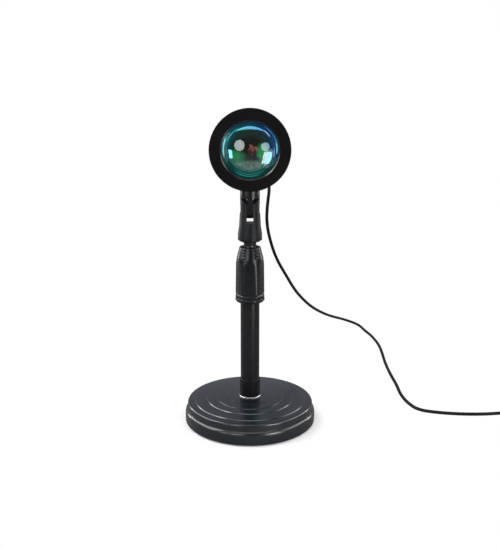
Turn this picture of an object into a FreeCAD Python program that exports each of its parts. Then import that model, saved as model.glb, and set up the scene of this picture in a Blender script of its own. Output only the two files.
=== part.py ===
import FreeCAD, Part
import Sketcher
import math
import os

# A sunset projection lamp: a drum head with a domed lens, held in a slotted tilting joint on a
# telescopic column with a twist clutch, over a stepped round base. Millimetres, +Z up, origin at the
# middle of the base's underside. The lens faces -Y. Lengths along the head's own axis are measured
# from its front face towards the back.

SIZES = {
    # fits: pressed or threaded parts, running parts, and how far a cutting tool runs past a face
    "slip": 0.02,
    "running_gap": 0.06,
    "overrun": 1.0,
    # base: pressed cover over a cast weight on a rubber pad
    "base_radius": 67.8,
    "cover_wall": 1.4,
    "cover_lift": 1.2,
    "foot_bevel": 1.0,
    "ledge_height": 14.3,
    "ledge_width": 2.2,
    "shoulder_round": 1.6,
    "tier_height": 22.4,
    "tier_round": 2.6,
    "ring_step": 0.8,
    "outer_ring_inset": 8.2,
    "inner_ring_inset": 12.4,
    "ring_slope": 0.5,
    "cover_top_height": 26.9,
    "pad_thickness": 2.0,
    "pad_inset": 2.9,
    "weight_gap": 0.4,
    "recess_radius": 9.5,
    "recess_depth": 6.0,
    "recess_roof": 3.0,
    "washer_radius": 8.4,
    "washer_thickness": 1.0,
    "base_bolt_radius": 3.0,
    "base_bolt_head": 4.9,
    "base_bolt_head_height": 3.6,
    "base_bolt_length": 17.0,
    # column
    "column_radius": 9.7,
    "column_bore": 8.2,
    "column_top_height": 166.0,
    "plug_height": 17.0,
    "foot_collar_radius": 10.5,
    "foot_collar_height": 19.3,
    "foot_flange_radius": 11.4,
    "foot_flange_height": 1.1,
    # clutch
    "clutch_lap": 36.3,
    "clutch_ring_thickness": 4.2,
    "clutch_ring_radius": 14.9,
    "clutch_ring_bevel": 1.6,
    "sleeve_radius": 11.4,
    "collet_depth": 16.0,
    "collet_flange": 2.0,
    "collet_flange_radius": 10.8,
    "collet_cone_radius": 10.0,
    "collet_tip_radius": 7.9,
    "collet_cone_height": 9.0,
    "collet_slot": 1.2,
    "grip_gap": 0.3,
    "grip_cap": 3.3,
    "grip_foot_radius": 14.75,
    "grip_shoulder_radius": 14.2,
    "grip_shoulder_drop": 17.0,
    "grip_brow_radius": 13.4,
    "grip_brow_drop": 11.0,
    "grip_mouth_radius": 10.6,
    "grip_mouth_bore": 9.5,
    "grip_neck_bore": 8.3,
    "grip_neck_drop": 6.0,
    "grip_seat_gap": 0.5,
    "grip_flat": 13.55,
    "grip_notch_height": 0.9,
    "grip_notch_pitch": 2.7,
    "grip_notch_depth": 0.6,
    "grip_notch_width": 4.4,
    # inner tube and its stud
    "mast_radius": 6.3,
    "mast_wall": 0.95,
    "mast_foot_gap": 9.0,
    "mast_rise": 1.5,
    "slide_bush_length": 13.0,
    "stud_shank": 12.0,
    "stud_radius": 7.9,
    "stud_end_gap": 0.1,
    # tilting joint
    "fork_foot_rise": 4.2,
    "fork_foot_rim": 0.4,
    "fork_chamfer": 1.6,
    "fork_skirt_radius": 12.1,
    "fork_skirt_height": 7.7,
    "fork_waist_radius": 10.9,
    "fork_waist_height": 15.3,
    "fork_radius": 9.75,
    "fork_shoulder_height": 36.8,
    "insert_radius": 9.3,
    "insert_length": 12.0,
    "fork_floor": 6.2,
    "fork_slot": 6.6,
    "pivot_rise": 14.1,
    "ear_radius": 10.9,
    "screw_radius": 2.5,
    "screw_head_radius": 4.1,
    "screw_seat": 6.8,
    "screw_head_height": 2.7,
    "screw_recess": 4.6,
    "socket_radius": 1.9,
    "socket_depth": 1.6,
    "nut_radius": 4.3,
    "friction_washer_radius": 9.0,
    "friction_washer_thickness": 0.4,
    "tongue_thickness": 5.7,
    "tongue_radius": 9.2,
    "neck_gap": 0.35,
    "neck_length": 15.65,
    "neck_screw_radius": 2.0,
    "neck_screw_spread": 10.0,
    "neck_screw_length": 10.0,
    "neck_screw_head": 3.4,
    "neck_screw_head_height": 1.8,
    # head: drum with a wide front ring
    "head_front": 40.0,
    "bezel_step": 3.9,
    "bezel_depth": 12.0,
    "bezel_round": 0.9,
    "bezel_socket": 3.0,
    "lens_rim_cover": 2.2,
    "lens_lip": 8.2,
    "lens_ring_width": 1.5,
    "lens_ring_setback": 1.1,
    "barrel_gap": 2.6,
    "lens_edge": 3.0,
    "lens_dome": 7.8,
    "lens_dome_gap": 0.1,
    "seal_width": 2.0,
    "seal_thickness": 0.8,
    "drum_radius": 34.5,
    "drum_wall": 1.5,
    "drum_length": 43.0,
    "barrel_wall": 1.4,
    "filter_setback": 2.4,
    "filter_thickness": 1.6,
    "barrel_flange": 1.2,
    "barrel_flange_width": 3.6,
    "board_plane": 50.0,
    "board_radius": 14.0,
    "board_thickness": 1.6,
    "chip_side": 7.0,
    "chip_height": 1.2,
    "emitter_radius": 2.6,
    "reflector_wall": 1.0,
    "reflector_throat": 7.0,
    "sink_plate": 4.0,
    "sink_floor": 3.0,
    "fin_depth": 10.5,
    "sink_wall": 4.0,
    "sink_length": 26.0,
    "fin_thickness": 2.0,
    "fin_pitch": 4.6,
    "driver_length": 18.0,
    "driver_width": 30.0,
    "choke_side": 8.0,
    "choke_depth": 6.0,
    "can_radius": 3.0,
    "can_standoff": 2.7,
    "can_offset": 9.0,
    "cap_depth": 8.0,
    "cap_bevel": 2.2,
    "cap_screw_radius": 1.4,
    "cap_screw_head": 2.7,
    "cap_screw_head_height": 1.5,
    "cap_screw_length": 14.0,
    "cap_seat_gap": 0.3,
    "relief_collar": 4.0,
    "relief_flange": 6.2,
    "relief_flange_thickness": 1.6,
    "relief_edge": 0.6,
    "relief_root": 3.75,
    "relief_root_length": 1.0,
    "relief_length": 20.3,
    "relief_tip": 2.5,
    # lead and plug
    "cord_radius": 1.8,
    "cord_floor_gap": 0.1,
    "coil_gap": 0.5,
    "coil_outer": 24.4,
    "coil_middle_x": 304.0,
    "coil_start_y": 10.0,
    "coil_tail": 12.0,
    "plug_relief_length": 11.0,
    "plug_relief_tip": 2.3,
    "plug_relief_radius": 3.4,
    "plug_body_length": 24.0,
    "plug_body_width": 16.0,
    "plug_corner": 2.0,
    "plug_floor_gap": 0.1,
    "shell_width": 12.0,
    "shell_height": 4.5,
    "shell_length": 12.0,
    "shell_wall": 0.35,
    "shell_floor": 1.0,
    "contact_thickness": 1.8,
}

# counts, which are not lengths
GRIP_SIDES = 6
NOTCH_ROWS = 3
COLLET_SLOTS = 4
FIN_COUNT = 5
CAP_SCREWS = 3
COIL_TURNS = 3

# how much of the shorter run beside a bend of the lead its arc takes up
ARC_SHARE = 0.45

doc = FreeCAD.newDocument("sunset_lamp")
sheet = doc.addObject("Spreadsheet::Sheet", "sizes")
for row, (alias, number) in enumerate(SIZES.items(), start=1):
    sheet.set(f"A{row}", alias)
    sheet.set(f"B{row}", str(number))
    sheet.setAlias(f"B{row}", alias)
doc.recompute()


class Length:
    """A length as a number and as the sheet expression that gives it."""

    def __init__(self, value, text):
        self.value = value
        self.text = text

    def join(self, other, sign, value, swap=False):
        left, right = (other.text, self.text) if swap else (self.text, other.text)
        return Length(value, f"({left} {sign} {right})")

    def __add__(self, other):
        other = as_length(other)
        return self.join(other, "+", self.value + other.value)

    def __sub__(self, other):
        other = as_length(other)
        return self.join(other, "-", self.value - other.value)

    def __rsub__(self, other):
        other = as_length(other)
        return self.join(other, "-", other.value - self.value, swap=True)

    def __mul__(self, other):
        other = as_length(other)
        return self.join(other, "*", self.value * other.value)

    def __truediv__(self, other):
        other = as_length(other)
        return self.join(other, "/", self.value / other.value)

    def __neg__(self):
        return Length(-self.value, f"(0 - {self.text})")

    __radd__ = __add__
    __rmul__ = __mul__


def as_length(number):
    return number if isinstance(number, Length) else Length(float(number), str(float(number)))


class Sizes:
    """The sheet's cells, read as size.alias."""

    def __getattr__(self, alias):
        return Length(SIZES[alias], f"sizes.{alias}")


size = Sizes()
nodes = []


# ---------------------------------------------------------------- makers of solids

def drive(thing, prop, length):
    """Bind one property of a document object to the sheet."""
    thing.setExpression(prop, as_length(length).text)


def move(thing, x=None, y=None, z=None):
    for axis, length in (("x", x), ("y", y), ("z", z)):
        if length is not None:
            drive(thing, f"Placement.Base.{axis}", length)
    return thing


def turn_to(thing, axis, angle):
    thing.Placement.Rotation = FreeCAD.Rotation(FreeCAD.Vector(*axis), angle)
    return thing


def node(thing, label):
    """Keep a finished sub-part under its own name."""
    thing.Label = label
    nodes.append(thing)
    return thing


def origin_plane(body, role):
    return next(f for f in body.Origin.OriginFeatures if f.Role == role)


def turned(name, profile):
    """A body turned about Z from a closed outline of (radius, height) points."""
    body = doc.addObject("PartDesign::Body", name)
    sketch = body.newObject("Sketcher::SketchObject", f"{name}_outline")
    sketch.AttachmentSupport = [(origin_plane(body, "XZ_Plane"), "")]
    sketch.MapMode = "FlatFace"
    points = [(as_length(r), as_length(z)) for r, z in profile]
    spots = [FreeCAD.Vector(r.value, z.value, 0) for r, z in points]
    count = len(spots)
    for i in range(count):
        sketch.addGeometry(Part.LineSegment(spots[i], spots[(i + 1) % count]), False)
    constraint = Sketcher.Constraint
    for i in range(count):
        sketch.addConstraint(constraint("Coincident", i, 2, (i + 1) % count, 1))
    for i, (r, z) in enumerate(points):
        if r.value == 0:
            sketch.addConstraint(constraint("PointOnObject", i, 1, -2))
        else:
            at = sketch.addConstraint(constraint("DistanceX", -1, 1, i, 1, r.value))
            sketch.setExpression(f"Constraints[{at}]", r.text)
        if z.value == 0:
            sketch.addConstraint(constraint("PointOnObject", i, 1, -1))
        else:
            at = sketch.addConstraint(constraint("DistanceY", -1, 1, i, 1, z.value))
            sketch.setExpression(f"Constraints[{at}]", z.text)
    spin = body.newObject("PartDesign::Revolution", f"{name}_turned")
    spin.Profile = sketch
    spin.ReferenceAxis = (sketch, ["V_Axis"])
    spin.Angle = 360.0
    sketch.Visibility = False
    doc.recompute()
    return body


def round_rim(body, radius, height, amount):
    """Round the circular edge of a turned body at this radius and height."""
    base = body.Tip
    names = []
    for number, edge in enumerate(base.Shape.Edges, start=1):
        curve = edge.Curve
        if isinstance(curve, Part.Circle) and abs(curve.Radius - radius.value) < 1e-4 \
                and abs(curve.Center.z - height.value) < 1e-4:
            names.append(f"Edge{number}")
    fillet = body.newObject("PartDesign::Fillet", f"{body.Name}_round")
    fillet.Base = (base, names)
    drive(fillet, "Radius", amount)
    doc.recompute()
    body.Tip = fillet
    return body


def rod(name, radius, length):
    thing = doc.addObject("Part::Cylinder", name)
    drive(thing, "Radius", radius)
    drive(thing, "Height", length)
    return thing


def block(name, x_size, y_size, z_size, z=0.0):
    """A box with its foot centred on the Z axis at height z."""
    thing = doc.addObject("Part::Box", name)
    drive(thing, "Length", x_size)
    drive(thing, "Width", y_size)
    drive(thing, "Height", z_size)
    return move(thing, -as_length(x_size) / 2, -as_length(y_size) / 2, z)


def prism(name, sides, corner_radius, length):
    thing = doc.addObject("Part::Prism", name)
    thing.Polygon = sides
    drive(thing, "Circumradius", corner_radius)
    drive(thing, "Height", length)
    return thing


def fused(name, parts):
    thing = doc.addObject("Part::MultiFuse", name)
    thing.Shapes = parts
    return thing


def cut(name, base, tool):
    thing = doc.addObject("Part::Cut", name)
    thing.Base = base
    thing.Tool = tool
    return thing


def common(name, one, other):
    thing = doc.addObject("Part::Common", name)
    thing.Base = one
    thing.Tool = other
    return thing


def group(name, parts):
    """Separate solids kept together as one sub-part."""
    thing = doc.addObject("Part::Compound", name)
    thing.Links = parts
    return thing


# ---------------------------------------------------------------- base

def base_profile():
    """Outer outline of the cover from its foot to the column, as (radius, height)."""
    s = size
    tier_radius = s.base_radius - s.ledge_width - s.ring_slope
    outer_ring_radius = tier_radius - s.outer_ring_inset
    inner_ring_radius = outer_ring_radius - s.inner_ring_inset
    outer_ring_foot = s.tier_height + s.ring_slope
    outer_ring_top = outer_ring_foot + s.ring_step
    inner_ring_foot = outer_ring_top + s.ring_slope
    return {
        "foot": (s.base_radius - s.foot_bevel, s.cover_lift),
        "skirt": (s.base_radius, s.cover_lift + s.foot_bevel),
        "shoulder": (s.base_radius, s.ledge_height),
        "ledge": (s.base_radius - s.ledge_width, s.ledge_height + s.ring_slope),
        "tier": (tier_radius, s.tier_height),
        "outer_ring_foot": (outer_ring_radius + s.ring_step, outer_ring_foot),
        "outer_ring_top": (outer_ring_radius, outer_ring_top),
        "inner_ring_foot": (inner_ring_radius + s.ring_step, inner_ring_foot),
        "inner_ring_top": (inner_ring_radius, inner_ring_foot + s.ring_step),
        "hub": (s.foot_flange_radius, s.cover_top_height),
    }


OUTLINE = base_profile()
COVER_HOLE = size.column_radius + size.slip
FLOOR_OF_COLUMN = size.pad_thickness + size.recess_depth + size.recess_roof

# heights above the table, each from the piece that carries the next
PLUG_TOP = FLOOR_OF_COLUMN + size.plug_height
CLUTCH_FOOT = size.column_top_height - size.clutch_lap
RING_TOP = CLUTCH_FOOT + size.clutch_ring_thickness
COLLET_SEAT = size.column_top_height + size.collet_flange
COLLET_TIP = COLLET_SEAT + size.collet_cone_height
GRIP_FOOT = RING_TOP + size.grip_gap
GRIP_TOP = COLLET_TIP + size.grip_cap + size.grip_neck_drop
MAST_FOOT = PLUG_TOP + size.mast_foot_gap
MAST_TOP = GRIP_TOP + size.mast_rise
FORK_FOOT = MAST_TOP + size.fork_foot_rise
INSERT_TOP = FORK_FOOT + size.insert_length
FORK_FLOOR = INSERT_TOP + size.fork_floor
PIVOT_HEIGHT = FORK_FLOOR + size.pivot_rise
NECK_FOOT = PIVOT_HEIGHT + size.ear_radius + size.neck_gap
HEAD_HEIGHT = NECK_FOOT + size.neck_length + size.drum_radius


def make_base_cover():
    wall = size.cover_wall
    outer = list(OUTLINE.values())
    inner = [
        (COVER_HOLE, size.cover_top_height),
        (COVER_HOLE, size.cover_top_height - wall),
        (OUTLINE["inner_ring_top"][0], OUTLINE["inner_ring_foot"][1] - wall),
        (OUTLINE["outer_ring_top"][0], OUTLINE["outer_ring_foot"][1] - wall),
        (OUTLINE["tier"][0] - wall, OUTLINE["tier"][1] - wall),
        (OUTLINE["ledge"][0] - wall, OUTLINE["shoulder"][1] - wall),
        (size.base_radius - wall, OUTLINE["shoulder"][1] - wall),
        (size.base_radius - wall, size.cover_lift),
    ]
    cover = turned("cover", outer + inner)
    round_rim(cover, *OUTLINE["shoulder"], size.shoulder_round)
    round_rim(cover, *OUTLINE["tier"], size.tier_round)
    node(cover, "base_cover")


def make_base_weight():
    gap = size.cover_wall + size.weight_gap
    bottom = size.pad_thickness
    low_radius = size.base_radius - gap
    low_top = OUTLINE["shoulder"][1] - gap
    high_radius = OUTLINE["tier"][0] - gap - size.weight_gap
    high_top = OUTLINE["tier"][1] - gap
    bore = size.column_radius + size.slip
    node(turned("weight", [
        (size.recess_radius, bottom),
        (low_radius, bottom),
        (low_radius, low_top),
        (high_radius, low_top),
        (high_radius, high_top),
        (bore, high_top),
        (bore, FLOOR_OF_COLUMN),
        (size.base_bolt_radius + size.slip, FLOOR_OF_COLUMN),
        (size.base_bolt_radius + size.slip, bottom + size.recess_depth),
        (size.recess_radius, bottom + size.recess_depth),
    ]), "base_weight")


def make_base_pad():
    pad_radius = size.base_radius - size.pad_inset
    node(turned("pad", [
        (size.recess_radius, 0.0),
        (pad_radius, 0.0),
        (pad_radius, size.pad_thickness),
        (size.recess_radius, size.pad_thickness),
    ]), "base_pad")


def make_base_fixings():
    washer_top = size.pad_thickness + size.recess_depth
    washer_foot = washer_top - size.washer_thickness
    node(turned("bolt_washer", [
        (size.base_bolt_radius + size.slip, washer_foot),
        (size.washer_radius, washer_foot),
        (size.washer_radius, washer_top),
        (size.base_bolt_radius + size.slip, washer_top),
    ]), "base_washer")
    head = move(prism("bolt_head", 6, size.base_bolt_head, size.base_bolt_head_height),
                z=washer_foot - size.base_bolt_head_height)
    shank = move(rod("bolt_shank", size.base_bolt_radius, size.base_bolt_length), z=washer_foot)
    node(fused("bolt", [head, shank]), "base_bolt")


# ---------------------------------------------------------------- column and clutch

def make_column():
    node(turned("tube", [
        (size.column_bore, FLOOR_OF_COLUMN),
        (size.column_radius, FLOOR_OF_COLUMN),
        (size.column_radius, size.column_top_height),
        (size.column_bore, size.column_top_height),
    ]), "column_tube")
    plug_radius = size.column_bore - size.slip
    node(turned("foot_plug", [
        (size.base_bolt_radius + size.slip, FLOOR_OF_COLUMN),
        (plug_radius, FLOOR_OF_COLUMN),
        (plug_radius, PLUG_TOP),
        (size.base_bolt_radius + size.slip, PLUG_TOP),
    ]), "column_plug")
    foot = size.cover_top_height
    collar_bore = size.column_radius + size.slip
    collar_top = foot + size.foot_collar_height
    node(turned("foot_collar", [
        (collar_bore, foot),
        (size.foot_flange_radius, foot),
        (size.foot_flange_radius, foot + size.foot_flange_height / 2),
        (size.foot_collar_radius, foot + size.foot_flange_height),
        (size.foot_collar_radius, collar_top - size.foot_flange_height / 2),
        (size.foot_collar_radius - size.foot_flange_height / 3, collar_top),
        (collar_bore, collar_top),
    ]), "column_collar")


def make_clutch_fixed_parts():
    bore = size.column_radius + size.slip
    bevel = size.clutch_ring_bevel
    node(turned("ring", [
        (bore, CLUTCH_FOOT),
        (size.clutch_ring_radius - bevel, CLUTCH_FOOT),
        (size.clutch_ring_radius, CLUTCH_FOOT + bevel),
        (size.clutch_ring_radius, RING_TOP),
        (bore, RING_TOP),
    ]), "clutch_ring")
    node(turned("sleeve", [
        (bore, RING_TOP),
        (size.sleeve_radius, RING_TOP),
        (size.sleeve_radius, size.column_top_height),
        (bore, size.column_top_height),
    ]), "clutch_sleeve")
    collet_bore = size.mast_radius + size.running_gap
    plain = turned("collet_plain", [
        (collet_bore, size.column_top_height - size.collet_depth),
        (size.column_bore - size.slip, size.column_top_height - size.collet_depth),
        (size.column_bore - size.slip, size.column_top_height),
        (size.collet_flange_radius, size.column_top_height),
        (size.collet_flange_radius, COLLET_SEAT),
        (size.collet_cone_radius, COLLET_SEAT),
        (size.collet_tip_radius, COLLET_TIP),
        (collet_bore, COLLET_TIP),
    ])
    slots = []
    for k in range(COLLET_SLOTS // 2):
        reach = size.collet_cone_radius + size.overrun
        slot = block(f"collet_slot_{k}", size.collet_slot, reach * 2, size.collet_cone_height)
        slots.append(turn_about_z(slot, (k + 0.5) * 360 / COLLET_SLOTS, -size.collet_slot / 2,
                                  -reach, COLLET_SEAT + size.collet_cone_height / 4))
    node(cut("collet", plain, fused("collet_slots", slots)), "clutch_collet")


def turn_about_z(thing, degrees, x, y, z):
    """Place a thing's corner at (x, y, z) and turn it about the Z axis."""
    angle = math.radians(degrees)
    x, y = as_length(x), as_length(y)
    thing.Placement.Rotation = FreeCAD.Rotation(FreeCAD.Vector(0, 0, 1), degrees)
    across, along = math.cos(angle), math.sin(angle)
    return move(thing, x * across - y * along, x * along + y * across, z)


def make_clutch_grip():
    seat_foot = COLLET_SEAT + size.grip_seat_gap
    body = turned("grip_turned", [
        (size.sleeve_radius + size.running_gap, GRIP_FOOT),
        (size.grip_foot_radius, GRIP_FOOT),
        (size.grip_shoulder_radius, GRIP_TOP - size.grip_shoulder_drop),
        (size.grip_brow_radius, GRIP_TOP - size.grip_brow_drop),
        (size.grip_mouth_radius, GRIP_TOP),
        (size.grip_mouth_bore, GRIP_TOP),
        (size.grip_neck_bore, GRIP_TOP - size.grip_neck_drop),
        (size.collet_tip_radius + size.grip_seat_gap, COLLET_TIP),
        (size.sleeve_radius + size.running_gap, seat_foot),
    ])
    flat_corner = size.grip_flat / math.cos(math.pi / GRIP_SIDES)
    sides = turn_to(prism("grip_sides", GRIP_SIDES, flat_corner, GRIP_TOP), (0, 0, 1), 0)
    faceted = common("grip_faceted", body, sides)
    slope = (size.grip_brow_radius - size.grip_mouth_radius) / size.grip_brow_drop
    notches = []
    for side in range(GRIP_SIDES):
        for row in range(NOTCH_ROWS):
            drop = size.grip_notch_pitch * (row + 1)
            surface = size.grip_mouth_radius + slope * drop
            notch = block(f"notch_{side}_{row}", size.grip_notch_width, size.grip_foot_radius,
                          size.grip_notch_height)
            notches.append(turn_about_z(notch, side * 360 / GRIP_SIDES - 90,
                                        -size.grip_notch_width / 2,
                                        surface - size.grip_notch_depth, GRIP_TOP - drop))
    node(cut("grip", faceted, fused("notches", notches)), "clutch_grip")


# ---------------------------------------------------------------- inner tube

def make_mast():
    bore = size.mast_radius - size.mast_wall
    node(turned("mast", [
        (bore, MAST_FOOT),
        (size.mast_radius, MAST_FOOT),
        (size.mast_radius, MAST_TOP),
        (bore, MAST_TOP),
    ]), "inner_tube")
    bush_bore = size.mast_radius + size.slip
    bush_radius = size.column_bore - size.running_gap
    bush_top = MAST_FOOT + size.slide_bush_length
    node(turned("bush", [
        (bush_bore, MAST_FOOT),
        (bush_radius, MAST_FOOT),
        (bush_radius, bush_top),
        (bush_bore, bush_top),
    ]), "slide_bush")
    shank = bore - size.slip
    stud_end = INSERT_TOP - size.stud_end_gap
    node(turned("stud", [
        (0.0, MAST_TOP - size.stud_shank),
        (shank, MAST_TOP - size.stud_shank),
        (shank, MAST_TOP),
        (size.mast_radius, MAST_TOP),
        (size.stud_radius, MAST_TOP + size.stud_radius - size.mast_radius),
        (size.stud_radius, stud_end),
        (0.0, stud_end),
    ]), "thread_stud")


# ---------------------------------------------------------------- tilting joint

def make_swivel_housing():
    foot = FORK_FOOT
    top = PIVOT_HEIGHT + size.ear_radius
    reach = size.fork_skirt_radius + size.overrun
    body = turned("fork_turned", [
        (size.insert_radius + size.slip, foot),
        (size.insert_radius + size.fork_foot_rim, foot),
        (size.fork_skirt_radius, foot + size.fork_chamfer),
        (size.fork_skirt_radius, foot + size.fork_skirt_height),
        (size.fork_waist_radius, foot + size.fork_waist_height),
        (size.fork_radius, foot + size.fork_shoulder_height),
        (size.fork_radius, top),
        (0.0, top),
        (0.0, INSERT_TOP + size.slip),
        (size.insert_radius + size.slip, INSERT_TOP + size.slip),
    ])
    slot = block("fork_slot_cut", size.fork_slot, reach * 2, top - FORK_FLOOR, FORK_FLOOR)
    # the ears are rounded about the pivot, so that the neck clears them as it tilts
    round_top = along_pivot(rod("ear_round", size.ear_radius, reach * 2), -reach)
    below = block("below_pivot", reach * 2, reach * 2, PIVOT_HEIGHT - foot + size.overrun,
                  foot - size.overrun)
    shaped = common("fork_shaped", body, fused("ear_envelope", [round_top, below]))
    cuts = [slot]
    bore = rod("pivot_bore", size.screw_radius + size.slip, reach * 2)
    cuts.append(along_pivot(bore, -reach))
    for name, side in (("screw_recess", -1), ("nut_recess", 1)):
        recess = rod(name, size.screw_recess, size.fork_skirt_radius)
        cuts.append(along_pivot(recess, side * size.screw_seat, side))
    node(cut("fork", shaped, fused("fork_cuts", cuts)), "swivel_housing")


def make_thread_insert():
    bore = size.stud_radius + size.running_gap
    node(turned("insert", [
        (bore, FORK_FOOT),
        (size.insert_radius, FORK_FOOT),
        (size.insert_radius, INSERT_TOP),
        (bore, INSERT_TOP),
    ]), "thread_insert")


def along_pivot(thing, start, side=1):
    """Lay a thing that was made along Z on the pivot's line, from x = start outwards."""
    turn_to(thing, (0, 1, 0), 90 * side)
    return move(thing, start, z=PIVOT_HEIGHT)


def make_pivot_hardware():
    head = along_pivot(rod("screw_head", size.screw_head_radius, size.screw_head_height),
                       -size.screw_seat, -1)
    shank = along_pivot(rod("screw_shank", size.screw_radius,
                            size.screw_seat * 2 + size.screw_head_height),
                        -size.screw_seat)
    socket = along_pivot(prism("screw_socket", 6, size.socket_radius, size.socket_depth),
                         -size.screw_seat - size.screw_head_height, 1)
    node(cut("pivot_bolt", fused("screw_blank", [head, shank]), socket), "pivot_screw")
    nut = along_pivot(prism("nut_blank", 6, size.nut_radius, size.screw_head_height), size.screw_seat)
    hole = along_pivot(rod("nut_hole", size.screw_radius + size.slip,
                           size.screw_head_height + size.overrun * 2),
                       size.screw_seat - size.overrun)
    node(cut("nut", nut, hole), "pivot_nut")
    washers = []
    for number, side in enumerate((-1, 1)):
        disc = along_pivot(rod(f"disc_{number}", size.friction_washer_radius,
                               size.friction_washer_thickness),
                           side * size.fork_slot / 2, -side)
        hole = along_pivot(rod(f"disc_hole_{number}", size.screw_radius + size.slip,
                               size.friction_washer_thickness + size.overrun * 2),
                           side * (size.fork_slot / 2 + size.overrun), -side)
        washers.append(cut(f"washer_{number}", disc, hole))
    node(group("washers", washers), "friction_washers")


def make_neck():
    stem = move(rod("neck_stem", size.fork_radius, HEAD_HEIGHT - NECK_FOOT), z=NECK_FOOT)
    slab = block("tongue_slab", size.tongue_thickness, size.tongue_radius * 2,
                 NECK_FOOT - PIVOT_HEIGHT + size.overrun, PIVOT_HEIGHT)
    tip = rod("tongue_tip", size.tongue_radius, size.tongue_thickness)
    along_pivot(tip, -size.tongue_thickness / 2)
    blank = fused("neck_blank", [stem, slab, tip])
    # the tongue stays inside the round stem as it is seen from above
    envelope = rod("neck_envelope", size.fork_radius, HEAD_HEIGHT)
    rounded = common("neck_rounded", blank, envelope)
    drum = turn_to(rod("neck_drum", size.drum_radius, size.drum_length), (1, 0, 0), -90)
    move(drum, y=size.bezel_depth - size.bezel_socket - size.head_front, z=HEAD_HEIGHT)
    bore = along_pivot(rod("tongue_bore", size.screw_radius + size.running_gap,
                           size.tongue_thickness + size.overrun * 2),
                       -size.tongue_thickness / 2 - size.overrun)
    cuts = [drum, bore]
    for number, side in enumerate((-1, 1)):
        hole = rod(f"neck_hole_{number}", size.neck_screw_radius + size.slip,
                   size.neck_screw_length * 2)
        cuts.append(move(hole, y=side * size.neck_screw_spread / 2, z=NECK_SCREW_FOOT))
    node(cut("neck", rounded, fused("neck_cuts", cuts)), "neck_bracket")


NECK_SCREW_SEAT = HEAD_HEIGHT - size.drum_radius + size.drum_wall
NECK_SCREW_FOOT = NECK_SCREW_SEAT - size.neck_screw_length


def make_neck_screws():
    screws = []
    for number, side in enumerate((-1, 1)):
        shank = rod(f"neck_shank_{number}", size.neck_screw_radius, size.neck_screw_length)
        head = rod(f"neck_head_{number}", size.neck_screw_head, size.neck_screw_head_height)
        spot = side * size.neck_screw_spread / 2
        move(shank, y=spot, z=NECK_SCREW_FOOT)
        move(head, y=spot, z=NECK_SCREW_SEAT)
        screws.append(fused(f"neck_screw_{number}", [shank, head]))
    node(group("neck_screw_pair", screws), "neck_screws")


# ---------------------------------------------------------------- head

def on_head(thing, x=None):
    """Turn a thing made along Z onto the head's axis, its zero at the front face."""
    turn_to(thing, (1, 0, 0), -90)
    return move(thing, x, -size.head_front, HEAD_HEIGHT)


DRUM_BORE = size.drum_radius - size.drum_wall
BEZEL_RADIUS = size.drum_radius + size.bezel_step
BARREL_RADIUS = DRUM_BORE - size.barrel_gap
BARREL_BORE = BARREL_RADIUS - size.barrel_wall
FLANGE_BORE = BARREL_BORE - size.barrel_flange_width
LENS_OPENING = BARREL_RADIUS - size.lens_rim_cover
LENS_RING_BORE = LENS_OPENING - size.lens_ring_width
DOME_RADIUS = LENS_RING_BORE - size.lens_dome_gap
SINK_CORE = size.drum_radius - size.fin_depth
SINK_BORE = SINK_CORE - size.sink_wall
DRUM_START = size.bezel_depth - size.bezel_socket
DRUM_END = DRUM_START + size.drum_length
LENS_BACK = size.lens_lip + size.lens_edge
SEAL_BACK = LENS_BACK + size.seal_thickness
FILTER_FRONT = SEAL_BACK + size.filter_setback
FILTER_BACK = FILTER_FRONT + size.filter_thickness
REFLECTOR_FRONT = FILTER_BACK + size.barrel_flange
SINK_END = size.board_plane + size.sink_length
HEAD_END = SINK_END + size.cap_depth
RELIEF_END = HEAD_END + size.relief_flange_thickness + size.relief_length


def make_bezel():
    bezel = turned("front_ring", [
        (LENS_OPENING, 0.0),
        (BEZEL_RADIUS, 0.0),
        (BEZEL_RADIUS, size.bezel_depth),
        (size.drum_radius + size.slip, size.bezel_depth),
        (size.drum_radius + size.slip, DRUM_START),
        (BARREL_RADIUS + size.slip, DRUM_START),
        (BARREL_RADIUS + size.slip, size.lens_lip),
        (LENS_OPENING, size.lens_lip),
    ])
    round_rim(bezel, BEZEL_RADIUS, as_length(0.0), size.bezel_round)
    node(on_head(bezel), "front_bezel")


def make_lens_stack():
    ring_radius = LENS_OPENING - size.slip
    node(on_head(turned("retainer", [
        (LENS_RING_BORE, size.lens_ring_setback),
        (ring_radius, size.lens_ring_setback),
        (ring_radius, size.lens_lip),
        (LENS_RING_BORE, size.lens_lip),
    ])), "lens_ring")
    # a spherical cap over a flat rim
    cap_rise = size.lens_dome
    curve = (DOME_RADIUS * DOME_RADIUS / cap_rise + cap_rise) / 2
    ball = doc.addObject("Part::Sphere", "lens_ball")
    drive(ball, "Radius", curve)
    move(ball, z=size.lens_lip - cap_rise + curve)
    cap_reach = move(rod("lens_cap_reach", DOME_RADIUS, cap_rise + size.overrun),
                     z=size.lens_lip - cap_rise)
    rim = move(rod("lens_rim", BARREL_RADIUS, size.lens_edge), z=size.lens_lip)
    node(on_head(fused("glass", [common("lens_cap", ball, cap_reach), rim])), "lens")
    node(on_head(turned("seal", [
        (BARREL_RADIUS - size.seal_width, LENS_BACK),
        (BARREL_RADIUS, LENS_BACK),
        (BARREL_RADIUS, SEAL_BACK),
        (BARREL_RADIUS - size.seal_width, SEAL_BACK),
    ])), "lens_seal")
    node(on_head(move(rod("filter", BARREL_BORE - size.slip, size.filter_thickness))),
         "dichroic_filter")
    drive(nodes[-1], "Placement.Base.y", FILTER_FRONT - size.head_front)


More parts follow.
